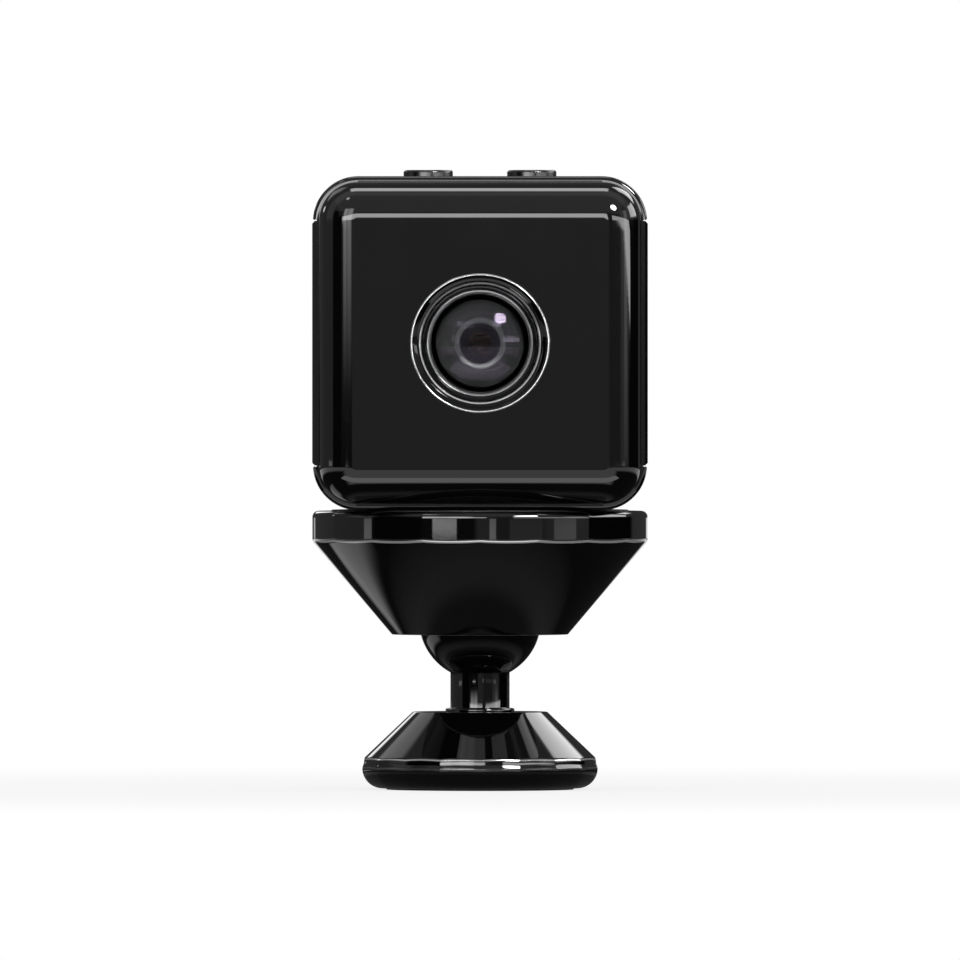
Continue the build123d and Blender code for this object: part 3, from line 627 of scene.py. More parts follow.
def soften(bm, verts, offset, segments=6):
    """Round some corners of an outline."""
    bmesh.ops.bevel(
        bm, geom=verts, offset=offset, offset_type="OFFSET", segments=segments, profile=0.5,
        affect="VERTICES", material=-1,
    )


def fluted_outline(flats, flutes, ridge, swing):
    """Regular polygon with crowned sides and a rounded ridge straight ahead."""
    bm = bmesh.new()
    middle, share = flats / 2, 2 * pi / flutes
    corner = middle / cos(share / 2)
    bmesh.ops.create_circle(bm, cap_ends=False, radius=corner, segments=flutes)
    bmesh.ops.subdivide_edges(bm, edges=bm.edges[:], cuts=9)
    ridges = [vert for vert in bm.verts if vert.co.length > corner - 0.001 * MM]
    crowned = middle * tan(share / 2) / sin(swing)
    back = middle - crowned
    for vert in bm.verts:
        off = (atan2(vert.co.x, vert.co.y) / share) % 1 * share - share / 2
        vert.co *= (back * cos(off) + sqrt(crowned**2 - (back * sin(off)) ** 2)) / vert.co.length
    soften(bm, ridges, ridge * tan(share / 2 - swing))
    return bm


def square_outline(half, corner):
    """Square with rounded corners and some points along each side."""
    bm = bmesh.new()
    turn = Matrix.Rotation(pi / 4, 4, "Z")
    bmesh.ops.create_circle(bm, cap_ends=False, radius=half * sqrt(2), segments=4, matrix=turn)
    soften(bm, bm.verts[:], corner, 20)
    long_sides = [edge for edge in bm.edges if edge.calc_length() > half]
    bmesh.ops.subdivide_edges(bm, edges=long_sides, cuts=22)
    return bm


def inside_square(half, corner):
    """Rows inside a rounded square: each point moves in along its own normal, and up to z."""
    reach = half - corner

    def row(inset, z):
        def place(point):
            centre = Vector([max(-reach, min(reach, point[axis])) for axis in (0, 1)] + [0])
            return point - (point - centre).normalized() * inset + Vector((0, 0, z))

        return place

    return row


def turned(points):
    """Turn an outline of (radius, height, rounding) points about Z."""
    bm = bmesh.new()
    verts = [bm.verts.new((radius, 0, z)) for radius, z, rounding in points]
    on_axis = points[0][0] == 0 and points[-1][0] == 0
    for first, second in zip(verts, verts[1:] + ([] if on_axis else verts[:1])):
        bm.edges.new((first, second))
    for vert, (radius, z, rounding) in zip(verts, points):
        if rounding:
            soften(bm, [vert], rounding)
    bmesh.ops.spin(
        bm, geom=bm.verts[:] + bm.edges[:], axis=(0, 0, 1), cent=(0, 0, 0), dvec=(0, 0, 0),
        angle=2 * pi, steps=TURN_STEPS, use_merge=True,
    )
    return bm


def arc_points(centre, radius, start, end, steps):
    """Points of an arc in the (radius, height) plane, angles in degrees from the radius axis."""
    r, z = centre
    return [
        (max(0.0, r + radius * cos(angle)), z + radius * sin(angle), 0)
        for angle in quarter(steps, start, end)
    ]


def crown(apex, edge, radius, steps):
    """Points of a spherical face from the axis out to its edge."""
    sag = apex - edge
    sphere = (radius**2 + sag**2) / 2 / abs(sag)
    side = 1 if sag > 0 else -1
    reach = degrees(asin(radius / sphere))
    points = arc_points((0, apex - side * sphere), sphere, side * 90, side * (90 - reach), steps)
    return [(0.0, apex, 0)] + points[1:]


def rod(bm, radius, low, high, place, sides=64, turn=Matrix.Identity(4)):
    """Closed cylinder along Z in bm, then turned."""
    matrix = Matrix.Translation((*place, (low + high) / 2))
    bmesh.ops.create_cone(
        bm, cap_ends=True, segments=sides, radius1=radius, radius2=radius, depth=high - low,
        matrix=turn @ matrix,
    )


def block(bm, x, y, z, turn=Matrix.Identity(4)):
    """Closed box in bm between pairs of limits, then turned."""
    middle = Vector((sum(x) / 2, sum(y) / 2, sum(z) / 2))
    size = Matrix.Diagonal((x[1] - x[0], y[1] - y[0], z[1] - z[0], 1))
    bmesh.ops.create_cube(bm, size=1, matrix=turn @ Matrix.Translation(middle) @ size)


def mesh_object(name, bm):
    """Object from a bmesh, with its faces turned outwards."""
    bmesh.ops.remove_doubles(bm, verts=bm.verts, dist=1e-7)
    bmesh.ops.recalc_face_normals(bm, faces=bm.faces)
    if bm.calc_volume(signed=True) < 0:
        bmesh.ops.reverse_faces(bm, faces=bm.faces)
    mesh = bpy.data.meshes.new(name)
    bm.to_mesh(mesh)
    bm.free()
    piece = bpy.data.objects.new(name, mesh)
    bpy.context.scene.collection.objects.link(piece)
    return piece


def reshape(piece, tool, operation="DIFFERENCE"):
    """Cut a tool out of a piece, or weld it on, and keep the result as the piece's own mesh."""
    cutter = mesh_object("tool", tool)
    modifier = piece.modifiers.new("shape", "BOOLEAN")
    modifier.object = cutter
    modifier.operation = operation
    modifier.solver = "EXACT"
    evaluated = piece.evaluated_get(bpy.context.evaluated_depsgraph_get())
    piece.data = bpy.data.meshes.new_from_object(evaluated)
    piece.modifiers.remove(modifier)
    bpy.data.objects.remove(cutter)


def dress(piece, body, slot, node):
    """Shade a finished piece evenly, give it its finish and let it stand for its CAD node."""
    piece.data.shade_smooth()
    piece.data.set_sharp_from_angle(angle=SHARP_ANGLE)
    even = piece.modifiers.new("even shading", "WEIGHTED_NORMAL")
    even.keep_sharp = True
    piece.data.materials.clear()
    piece.data.materials.append(FINISHES[slot])
    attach(piece, body)
    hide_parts(node)


def in_camera_frame(bm):
    """Carry a shape from the camera's own frame to the stand's."""
    bmesh.ops.transform(bm, matrix=CAMERA_FRAME, verts=bm.verts)
    return bm


# ---- fluted cones of the stand
# Profile between the base's cone and its rim: how far in, and how far past the crease.
BASE_STEP = (
    (0.252, -0.238), (0.215, -0.195), (0.18, -0.125), (0.158, -0.055), (0.144, 0.01),
    (0.13, 0.11), (0.119, 0.21), (0.112, 0.31), (0.098, 0.35), (0.035, 0.52),
    (0.021, 0.57), (0.01, 0.65), (0.003, 0.73), (0.0, 0.8),
)


class FlutedCone:
    """Outer wall of a fluted rim that runs into a cone; up is 1 when the rim is above the cone."""

    def __init__(self, end_radius, end_z, slope, rim_z, rim_edge, up):
        self.end_radius, self.end_z, self.slope = end_radius, end_z, slope
        self.rim_z, self.rim_edge, self.up = rim_z, rim_edge, up

    def end_rows(self, rounding):
        """Circles of the rounding at the cone's small end, and one on the cone that holds it."""
        lean = atan(self.slope)
        centre = self.end_radius - rounding * tan((pi / 2 - lean) / 2)
        height = self.end_z + self.up * rounding
        hold = 0.2 * MM
        return [
            at_radius(centre + rounding * cos(angle), height - self.up * rounding * sin(angle))
            for angle in quarter(6, 90, degrees(lean))
        ] + [at_radius(self.end_radius + hold, self.end_z + self.up * hold / self.slope)]

    def near_crease(self, inset, past):
        """One row near the crease: moved in from the rim, and past the crease towards the rim."""
        def place(point):
            radius = point.length
            crease = self.end_z + self.up * (radius - self.end_radius) / self.slope
            return point.normalized() * (radius - inset) + Vector((0, 0, crease + self.up * past))

        return place

    def up_the_cone(self, reach):
        """One row on the cone, at a distance from the crease."""
        lean = atan(self.slope)
        return self.near_crease(reach * sin(lean), -reach * cos(lean))

    def rows(self, end_rounding, crease_rows):
        """Rows from the cone's small end to the rim's flat face."""
        edge = self.rim_edge
        rim_rows = [moved_in(*row) for row in rounded(edge, self.rim_z, self.up, 12)]
        beside = [moved_in(0, self.rim_z - self.up * (edge + 0.05 * MM))]
        return self.end_rows(end_rounding) + crease_rows + beside + rim_rows


class CUBE_CAMERA_OT_finishes(bpy.types.Operator):
    """Make every finish and give the carried parts theirs"""

    bl_idname = "cube_camera.finishes"
    bl_label = "Finishes"

    def execute(self, context):
        FINISHES.update(finish_table(context.scene.cube_camera))
        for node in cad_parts.values():
            for slot in node.material_slots:
                slot.material = FINISHES[slot.material.name]
        return {"FINISHED"}


class CUBE_CAMERA_OT_base(bpy.types.Operator):
    """Fluted base, hollow below"""

    bl_idname = "cube_camera.base"
    bl_label = "Base"

    def execute(self, context):
        stand = context.scene.cube_camera.stand
        low, high = BASE_BOX
        weight, screw_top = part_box("base_weight"), STUD_BOX[0].z
        cone = FlutedCone(stand.base_top, high.z, stand.base_slope, low.z, stand.base_under, -1)
        crease_rows = [cone.up_the_cone(0.5 * MM), cone.up_the_cone(0.4 * MM)] + [
            cone.near_crease(inset * MM, past * MM) for inset, past in BASE_STEP
        ]
        bore, shoulder, spigot = stand.base_bore, stand.base_bore - 0.8 * MM, 1.62 * MM
        inner_rows = circles(
            (bore, low.z), (bore, weight[1].z), (shoulder, weight[1].z), (4.2 * MM, screw_top),
            (spigot, screw_top), (spigot, high.z),
        )
        bm = fluted_outline(high.x - low.x, stand.flutes, stand.ridge, stand.swing)
        loft(bm, cone.rows(0.15 * MM, crease_rows) + inner_rows)
        dress(mesh_object("base", bm), "stand", "stand_black", "base_shell")
        return {"FINISHED"}


class CUBE_CAMERA_OT_ball(bpy.types.Operator):
    """Ball on its neck, with the collar on the base"""

    bl_idname = "cube_camera.ball"
    bl_label = "Ball stud"

    def execute(self, context):
        stand = context.scene.cube_camera.stand
        low, high = STUD_BOX
        middle = high.z - stand.ball
        base_top = BASE_BOX[1].z
        neck_angle = degrees(asin(stand.neck / stand.ball)) - 90
        ball = [(0, high.z, 0)] + arc_points((0, middle), stand.ball, 90, neck_angle, 96)[1:]
        collar_top, spigot, pilot, pilot_end = base_top + 0.3 * MM, 1.6 * MM, 0.8 * MM, 9.0 * MM
        foot = [
            (stand.neck, collar_top, 0.06 * MM), (stand.collar, collar_top, 0.16 * MM),
            (stand.collar, base_top, 0), (spigot, base_top, 0), (spigot, low.z, 0),
            (pilot, low.z, 0), (pilot, pilot_end, 0), (0, pilot_end, 0),
        ]
        bm = turned(ball + foot)
        dress(mesh_object("ball", bm), "stand", "stud_black", "ball_stud")
        return {"FINISHED"}


class CUBE_CAMERA_OT_holder(bpy.types.Operator):
    """Fluted magnetic holder with its ball socket below and magnet pocket above"""

    bl_idname = "cube_camera.holder"
    bl_label = "Magnetic holder"

    def execute(self, context):
        stand = context.scene.cube_camera.stand
        low, high = HOLDER_BOX
        play = 0.05 * MM
        grip, magnet, yoke = GRIP_BOX[1].x + play, MAGNET_BOX[1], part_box("magnet_yoke")[0].z
        cone = FlutedCone(
            stand.holder_bottom, low.z, stand.holder_slope, high.z, stand.holder_top, 1,
        )
        setback = stand.holder_rim * tan(atan(stand.holder_slope) / 2)
        crease_rows = [cone.up_the_cone(setback + hold * MM) for hold in (0.08, 0.0)] + [
            cone.near_crease(0.0, setback + hold * MM) for hold in (0.0, 0.06)
        ]
        ball_z = STUD_BOX[1].z - stand.ball
        socket = stand.ball + stand.socket_gap
        seat_z, tube, bore = 15.1 * MM, 6.75 * MM, 6.2 * MM
        pocket, tube_top = magnet.x + play, magnet.z - 0.4 * MM
        pocket_rows = circles(
            (grip, high.z), (grip, magnet.z), (pocket, magnet.z), (pocket, yoke), (tube, yoke),
            (tube, tube_top), (bore, tube_top), (bore, seat_z),
        )
        start = degrees(asin((seat_z - ball_z) / socket))
        end = degrees(asin((low.z - ball_z) / socket))
        socket_rows = circles(*(
            (socket * cos(angle), ball_z + socket * sin(angle)) for angle in quarter(10, start, end)
        ))
        bm = fluted_outline(high.x - low.x, stand.flutes, stand.ridge, stand.swing)
        loft(bm, cone.rows(0.1 * MM, crease_rows) + pocket_rows + socket_rows)
        piece = mesh_object("holder", bm)
        reshape(piece, self.core(yoke))
        dress(piece, "holder", "holder_black", "holder_shell")
        return {"FINISHED"}

    def core(self, top):
        """Hollow round the socket, with six ribs left standing in it."""
        inner, floor, above = 7.6 * MM, 15.6 * MM, top + 0.1 * MM
        hollow = mesh_object("core", turned([
            (inner, floor, 0), (8.1 * MM, floor, 0), (10.3 * MM, above, 0), (inner, above, 0),
        ]))
        ribs, thickness, height = bmesh.new(), (-0.45 * MM, 0.45 * MM), (floor - MM, top + MM)
        for k in range(3):
            turn = Matrix.Rotation(radians(60 * k), 4, "Z")
            for reach in ((inner - MM, 11 * MM), (-11 * MM, MM - inner)):
                block(ribs, reach, thickness, height, turn)
        reshape(hollow, ribs)
        bm = bmesh.new()
        bm.from_mesh(hollow.data)
        bpy.data.objects.remove(hollow)
        return bm


# ---- casing of the camera
# Shared by the sleeve and the covers: where the corner screws stand, how thick their bosses are,
# where the posts stand, and where the main board lies.
SCREW_PLACE, SCREW_BOSS, POST_PLACE = 8.8 * MM, 1.5 * MM, 1.5 * MM
BOARD_Z = -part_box("main_board")[1].y
# Turns that lay a tool's Z along the camera's up and along its right.
UPRIGHT, SIDEWAYS = Matrix.Rotation(-pi / 2, 4, "X"), Matrix.Rotation(-pi / 2, 4, "Y")


def four(distance):
    """The four places at the same distance from both middle planes."""
    return [(sx * distance, sy * distance) for sx in (-1, 1) for sy in (-1, 1)]


class CUBE_CAMERA_OT_sleeve(bpy.types.Operator):
    """Square sleeve with seats for the side panels, bosses and openings"""

    bl_idname = "cube_camera.sleeve"
    bl_label = "Sleeve"

    def execute(self, context):
        casing = context.scene.cube_camera.casing
        half = SHELL_BOX[1].x
        seam, wall = casing.seam, casing.wall
        row = inside_square(half, casing.corner)
        insets = rounded(casing.lip, seam, 1, 8) + [(wall, seam), (wall, -seam)]
        insets += rounded(casing.lip, -seam, -1, 8, 90, 0)
        bm = square_outline(half, casing.corner)
        loft(bm, [row(*inset) for inset in insets])
        piece = mesh_object("sleeve", in_camera_frame(bm))
        reshape(piece, self.bosses(half - wall, seam), "UNION")
        reshape(piece, self.pilots(seam))
        reshape(piece, self.keeper_rim(half - wall), "UNION")
        reshape(piece, self.seats(casing, half))
        reshape(piece, self.grooves(casing, half))
        reshape(piece, self.openings(casing, half))
        dress(piece, "camera", "shell_black", "main_shell")
        return {"FINISHED"}

    def bosses(self, inner, seam):
        """Screw bosses with their webs in the corners, and two posts under the roof."""
        bm = bmesh.new()
        web, thickness = 4.0 * MM, (-0.6 * MM, 0.6 * MM)
        depth = (0.01 * MM - seam, BOARD_Z - 0.01 * MM)
        for x, y in four(SCREW_PLACE):
            rod(bm, SCREW_BOSS, -seam, BOARD_Z, (x, y))
            turn = Matrix.Rotation(pi / 4 if x * y > 0 else -pi / 4, 4, "Z")
            outwards = (0.0, web) if x > 0 else (-web, 0.0)
            block(bm, outwards, thickness, depth, Matrix.Translation((x, y, 0)) @ turn)
        post, foot, head = 0.9 * MM, 9.1 * MM, inner + 0.4 * MM
        for side in (-1, 1):
            rod(bm, post, foot, head, (0, -side * POST_PLACE), 48, UPRIGHT)
        return in_camera_frame(bm)

    def pilots(self, seam):
        """Pilot holes at both ends of each boss and below each post."""
        bm = bmesh.new()
        in_boss, in_post = 0.6 * MM, 0.4 * MM
        for place in four(SCREW_PLACE):
            rod(bm, in_boss, -seam - MM, 4 * MM - seam, place, 32)
            rod(bm, in_boss, BOARD_Z - 3 * MM, MM + BOARD_Z, place, 32)
        for side in (-1, 1):
            rod(bm, in_post, 8.8 * MM, 11.1 * MM, (0, -side * POST_PLACE), 32, UPRIGHT)
        return in_camera_frame(bm)

    def keeper_rim(self, inner):
        """Rim round the keeper plate, standing on the floor of the sleeve."""
        foot, top = CUBE_CENTRE_Z - inner - 0.5 * MM, CUBE_CENTRE_Z - 10.95 * MM
        inside, outside, softness = 7.1 * MM, 7.8 * MM, 0.1 * MM
        return turned([
            (inside, foot, 0), (outside, foot, 0),
            (outside, top, softness), (inside, top, softness),
        ])

    def seats(self, casing, half):
        """Room for the two side panels."""
        bm = bmesh.new()
        height = (-casing.panel_half, casing.panel_half)
        for side in (-1, 1):
            outside = sorted((side * casing.panel_seat, side * (half + MM)))
            block(bm, outside, height, (-casing.seam - MM, casing.seam + MM))
        return in_camera_frame(bm)

    def grooves(self, casing, half):
        """Fine groove along both edges of each side panel."""
        bm = bmesh.new()
        across = (-casing.groove / sqrt(2), casing.groove / sqrt(2))
        for x, y in four(1.0):
            edge = Matrix.Translation((x * (half - 0.1 * MM), y * casing.panel_half, 0))
            turn = Matrix.Rotation(pi / 4, 4, "Z")
            block(bm, across, across, (-casing.seam - MM, casing.seam + MM), edge @ turn)
        return in_camera_frame(bm)

    def openings(self, casing, half):
        """Openings for buttons, plug, card, microphone and reset pin."""
        bm = bmesh.new()
        for side in (-1, 1):
            place = (side * casing.button_place, 0)
            rod(bm, casing.button + 0.08 * MM, half - 2 * MM, half + MM, place, 96, UPRIGHT)
        through = (casing.panel_seat - 1.5 * MM, casing.panel_seat + MM)
        plug = (-7.05 * MM, 0.65 * MM), (-5.2 * MM, -2.4 * MM)
        card = (-6.3 * MM, 5.1 * MM), (-1.3 * MM, -0.3 * MM)
        for height, depth in (plug, card):
            block(bm, through, height, depth)
        microphone, reset_pin = (4.5 * MM, 5.0 * MM), (-0.85 * MM, -4.9 * MM)
        for radius, place in ((0.5 * MM, microphone), (0.6 * MM, reset_pin)):
            rod(bm, radius, *through, place, 32, SIDEWAYS)
        return in_camera_frame(bm)


def cover_rows(casing, half, face):
    """Rows from the inner face's edge, round the spigot and the seam, to the outer face's edge."""
    edge, wall, seam = casing.cover_edge, casing.cover_wall, casing.seam
    inner_edge = casing.cover_corner - wall - 0.1 * MM
    inner_face = face - casing.face_wall
    spigot_in, spigot_out, spigot_z = half - 10.95 * MM, half - 11.95 * MM, seam - 1.8 * MM
    insets = [(wall + inset, z) for inset, z in rounded(inner_edge, inner_face, 1, 6, 90, 0)]
    insets += [
        (spigot_in, seam), (spigot_in, spigot_z), (spigot_out, spigot_z), (spigot_out, seam),
        (0, seam),
    ]
    insets += rounded(edge, face, 1, 32) + [(edge + 0.12 * MM, face)]
    row = inside_square(half, casing.cover_corner)
    return [row(*inset) for inset in insets]


def spigot_corners(low, high):
    """Room at the four corners of a cover's spigot, for the bosses."""
    bm = bmesh.new()
    reach = 2.5 * MM
    for x, y in four(11 * MM):
        block(bm, (x - reach, x + reach), (y - reach, y + reach), (low, high))
    return in_camera_frame(bm)


class CUBE_CAMERA_OT_covers(bpy.types.Operator):
    """Front cover with the lens opening and rear cover with vents and screw seats"""

    bl_idname = "cube_camera.covers"
    bl_label = "Covers"

    def execute(self, context):
        sizes = context.scene.cube_camera
        half, face = COVER_BOX[1].x, -COVER_BOX[0].y
        self.front(sizes.casing, sizes.lens, half, face)
        self.rear(sizes.casing, half, face)
        return {"FINISHED"}

    def front(self, casing, lens, half, face):
        """Cover around the lens."""
        seat, seat_z = lens.trim + 0.02 * MM, -TRIM_BOX[1].y
        inner_face = face - casing.face_wall
        rows = [at_radius(lens.trim_hole, inner_face)] + cover_rows(casing, half, face) + [
            at_radius(seat, face), at_radius(seat, seat_z), at_radius(lens.trim_hole, seat_z),
        ]
        bm = square_outline(half, casing.cover_corner)
        loft(bm, rows)
        piece = mesh_object("front_face", in_camera_frame(bm))
        reshape(piece, spigot_corners(casing.seam - 2.0 * MM, casing.seam))
        posts, top = bmesh.new(), inner_face + 0.4 * MM
        lamp_post, sensor_post = 8.0 * MM, 6.8 * MM
        for place in four(lamp_post):
            rod(posts, 0.9 * MM, 11.1 * MM, top, place, 32)
        for side in (-1, 1):
            rod(posts, 1.0 * MM, -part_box("sensor_board")[0].y, top, (side * sensor_post, 0), 32)
        reshape(piece, in_camera_frame(posts), "UNION")
        dress(piece, "camera", "cover_black", "front_cover")

    def rear(self, casing, half, face):
        """Cover with two rows of vents and four screw seats."""
        bm = square_outline(half, casing.cover_corner)
        loft(bm, cover_rows(casing, half, face), closed=False)
        bmesh.ops.holes_fill(bm, edges=bm.edges, sides=0)
        bmesh.ops.rotate(bm, verts=bm.verts, cent=(0, 0, 0), matrix=Matrix.Rotation(pi, 3, "Y"))
        piece = mesh_object("rear_face", in_camera_frame(bm))
        reshape(piece, self.seats(casing, face), "UNION")
        reshape(piece, spigot_corners(-casing.seam, 2.0 * MM - casing.seam))
        reshape(piece, self.vents(face))
        dress(piece, "camera", "cover_black", "rear_cover")

    def seats(self, casing, face):
        """Bosses inside the rear cover."""
        bm = bmesh.new()
        low = -(face - casing.face_wall + 0.3 * MM)
        for place in four(SCREW_PLACE):
            rod(bm, SCREW_BOSS, low, -casing.seam - 0.02 * MM, place)
        return in_camera_frame(bm)

    def vents(self, face):
        """Slots and screw holes through the rear cover."""
        bm = bmesh.new()
        head, thread = 1.15 * MM, 0.7 * MM
        for place in four(SCREW_PLACE):
            rod(bm, head, -face - MM, -face + 0.8 * MM, place)
            rod(bm, thread, -face + 0.79 * MM, -9.0 * MM, place, 48)
        pitch, level, depth = 1.2 * MM, 6.9 * MM, (-face - MM, -face + 2 * MM)
        for k in range(-4, 5):
            for side in (-1, 1):
                slot_tool(bm, k * pitch, side * level, depth)
        return in_camera_frame(bm)


def slot_tool(bm, x, y, z):
    """Upright slot with round ends, as a closed tool in bm."""
    slot_length, slot_width = 2.4 * MM, 0.6 * MM
    radius = slot_width / 2
    tool = bmesh.new()
    bmesh.ops.create_circle(tool, cap_ends=True, radius=radius, segments=24)
    for side in (-1, 1):
        ends = [vert for vert in tool.verts if vert.co.y * side > radius * 0.01]
        bmesh.ops.translate(tool, verts=ends, vec=(0, side * (slot_length / 2 - radius), 0))
    bmesh.ops.translate(tool, verts=tool.verts, vec=(x, y, z[0]))
    walls = bmesh.ops.extrude_face_region(tool, geom=tool.faces[:])["geom"]
    top = [part for part in walls if isinstance(part, bmesh.types.BMVert)]
    bmesh.ops.translate(tool, verts=top, vec=(0, 0, z[1] - z[0]))
    bmesh.ops.recalc_face_normals(tool, faces=tool.faces)
    mesh = bpy.data.meshes.new("slot")
    tool.to_mesh(mesh)
    tool.free()
    bm.from_mesh(mesh)
    bpy.data.meshes.remove(mesh)


class CUBE_CAMERA_OT_buttons(bpy.types.Operator):
    """Two round push buttons with their flanges and stems"""

    bl_idname = "cube_camera.buttons"
    bl_label = "Buttons"

    def execute(self, context):
        casing = context.scene.cube_camera.casing
        low, high = (corner.z for corner in BUTTON_BOX)
        flange = CUBE_CENTRE_Z + 12.0 * MM
        radius = casing.button
        under, over = flange - 0.55 * MM, flange - 0.05 * MM
        stem, brim, softness = 0.8 * MM, 2.5 * MM, 0.05 * MM
        for side, node in ((-1, "power_button"), (1, "mode_button")):
            bm = turned([
                (0, low, 0), (stem, low, softness), (stem, under, 0), (brim, under, softness),
                (brim, over, softness), (radius, over, 0), (radius, high, 0.2 * MM), (0, high, 0),
            ])
            bmesh.ops.translate(bm, verts=bm.verts, vec=(side * casing.button_place, 0, 0))
            dress(mesh_object(node + "_cap", bm), node, "button_black", node)
        return {"FINISHED"}


# ---- lens
class CUBE_CAMERA_OT_lens(bpy.types.Operator):
    """Trim ring, barrel and domed front glass"""

    bl_idname = "cube_camera.lens"
    bl_label = "Lens"

    def execute(self, context):
        lens = context.scene.cube_camera.lens
        face = -COVER_BOX[0].y
        self.trim_ring(lens, face)
        self.barrel(lens, face)
        self.front_glass(lens)
        return {"FINISHED"}

    def trim_ring(self, lens, face):
        """Raised crest between two bevels, dished slope and inner bevel."""
        seat, top, bevel, fine = -TRIM_BOX[1].y, -TRIM_BOX[0].y, lens.bevel, 0.02 * MM
        hole, crest = lens.trim_hole, lens.crest
        bead = hole + 0.2 * MM
        bm = turned([
            (hole, seat, 0), (lens.trim, seat, 0), (lens.trim, top - bevel, fine),
            (crest + fine, top, fine), (crest - fine, top, fine),
            (crest - fine - bevel, top - bevel, 0.03 * MM),
            (bead + 0.1 * MM, face - fine, 0.05 * MM), (bead, face + 0.12 * MM, fine),
            (hole + fine, face - 0.06 * MM, fine), (hole, face - 0.08 * MM, 0),
        ])
        piece = mesh_object("trim_ring", in_camera_frame(bm))
        dress(piece, "camera", "trim_black", "lens_trim_ring")

    def barrel(self, lens, face):
        """Flange with bevels, bead round the glass, dished stop and threaded neck; the mouth's
        bright bevel is painted highlight in the barrel's finish.
        """
        back, seat_z, thread, bore_end = 11.4 * MM, 11.5 * MM, 3.55 * MM, 11.0 * MM
        end, seat, mouth, fine = -BARREL_BOX[1].y, lens.glass + 0.05 * MM, lens.mouth, 0.01 * MM
        groove, edge = face - 0.32 * MM, 0.14 * MM
        dish_centre = (lens.stop - 0.17 * MM, 15.96 * MM)
        bm = turned(arc_points(dish_centre, 4.6 * MM, -88.0, -82.5, 6) + [
            (lens.dish, seat_z, 0.03 * MM), (seat, seat_z, 0), (seat, groove + 0.06 * MM, fine),
            (seat + 0.03 * MM, groove + 0.1 * MM, fine), (mouth - 0.1 * MM, groove, fine),
            (mouth + 0.12 * MM, face - 0.06 * MM, 0.02 * MM), (mouth + 0.18 * MM, face, 0.03 * MM),
            (lens.barrel - edge, face, 0.02 * MM), (lens.barrel, face - edge, 0.02 * MM),
            (lens.barrel, back, 0), (thread, back, 0), (thread, end, 0), (lens.bore, end, 0),
            (lens.bore, bore_end, 0), (lens.stop, bore_end, 0),
        ])
        piece = mesh_object("barrel", in_camera_frame(bm))
        dress(piece, "camera", "barrel_black", "lens_barrel")

    def front_glass(self, lens):
        """Domed glass with a hollow back."""
        apex = -GLASS_BOX[0].y
        edge, back, hollow_top = 12.15 * MM, -GLASS_BOX[1].y, 12.66 * MM
        outer = crown(apex, edge, lens.glass, 40)
        inner = crown(hollow_top, back, lens.hollow, 28)
        bm = turned(outer + [(lens.glass, back, 0)] + inner[::-1])
        piece = mesh_object("front_glass", in_camera_frame(bm))
        dress(piece, "camera", "front_glass", "front_lens")


# ---- studio
def tent_directions(tree, middle_z):
    """Direction of a point on the tent, and its angles in degrees."""
    unit = vector(tree, "NORMALIZE", vector(tree, "SUBTRACT", object_point(tree), (0, 0, middle_z)))
    split = add_node(tree, "SeparateXYZ", (unit,))
    x, y, z = split["X"], split["Y"], split["Z"]
    to_degrees = 180 / pi
    return unit, {
        "round": x.maths("ARCTAN2", -y) * to_degrees,
        "up": z.maths("ARCSINE") * to_degrees,
        "over": z.maths("ARCTAN2", -y) * to_degrees,
        "aside": x.maths("ARCSINE") * to_degrees,
        "back": y.maths("ARCSINE") * to_degrees,
    }


# Panels by the two angles that bound them: limits across, limits up, softness, brightness.
TENT_PANELS = {
    ("round", "over"): (
        (-40, 9, 2.7, 13.4, 0.5, 7.5), (22, 86, 2.7, 13.4, 0.5, 6.0),
    ),
    ("aside", "over"): (
        (-13, 11, 94.5, 109.5, 2.0, 5.5), (-50, 50, 17.0, 96.0, 4.0, 0.2),
    ),
    ("back", "up"): (
        (-14, 12, 4.0, 88.0, 4.0, 0.3),
    ),
    ("round", "up"): (
        (-36, -10, 0.9, 30.0, 1.7, 2.8), (-36, -27, 0.9, 30.0, 1.7, 1.2),
        (-21, -13, 0.9, 30.0, 1.7, 1.0), (-28.5, -17.0, -2.2, -1.95, 0.06, 6.0),
        (-27.5, -19.5, -2.5, -2.22, 0.12, 0.5), (-90, -76, -2.6, -1.95, 0.12, 1.4),
        (10.5, 13.5, -2.6, -1.95, 0.12, 2.1), (20, 48, -2.6, -1.95, 0.12, 0.25),
        (54, 66, -2.6, -1.95, 0.12, 0.9), (-164, -150, -2.6, -1.95, 0.12, 1.1),
        (160, 176, -2.6, -1.95, 0.12, 0.9), (51, 76, 0.0, 24.0, 3.0, 0.35),
        (62, 73, 0.0, 24.0, 2.5, 1.2), (88, 119, 8.0, 30.0, 2.0, 6.0),
        (131, 157, 23.0, 53.0, 2.5, 4.4), (-172, -161, 9.0, 20.0, 2.0, 2.6),
        (-156, -133, 25.0, 52.0, 2.0, 0.8),
    ),
}
# Black flags, bounded round and up: the same limits and softness, then how much they hold back.
TENT_FLAGS = (
    (-73, -41, -30.0, 24.0, 2.0, 1.0), (-41, -8, -30.0, 0.0, 1.5, 0.9),
    (12, 49, -30.0, 20.0, 3.0, 0.45), (80, 131, -30.0, 4.0, 2.0, 1.0),
    (-190, 190, -30.0, -3.7, 0.15, 0.8),
)
# Round lamps: the angle round and up, their half angle, brightness.
TENT_LAMPS = ((33.5, 33.5, 7.5, 75.0), (-49.0, 60.0, 4.0, 6.0), (-128.0, 16.0, 4.0, 5.0))


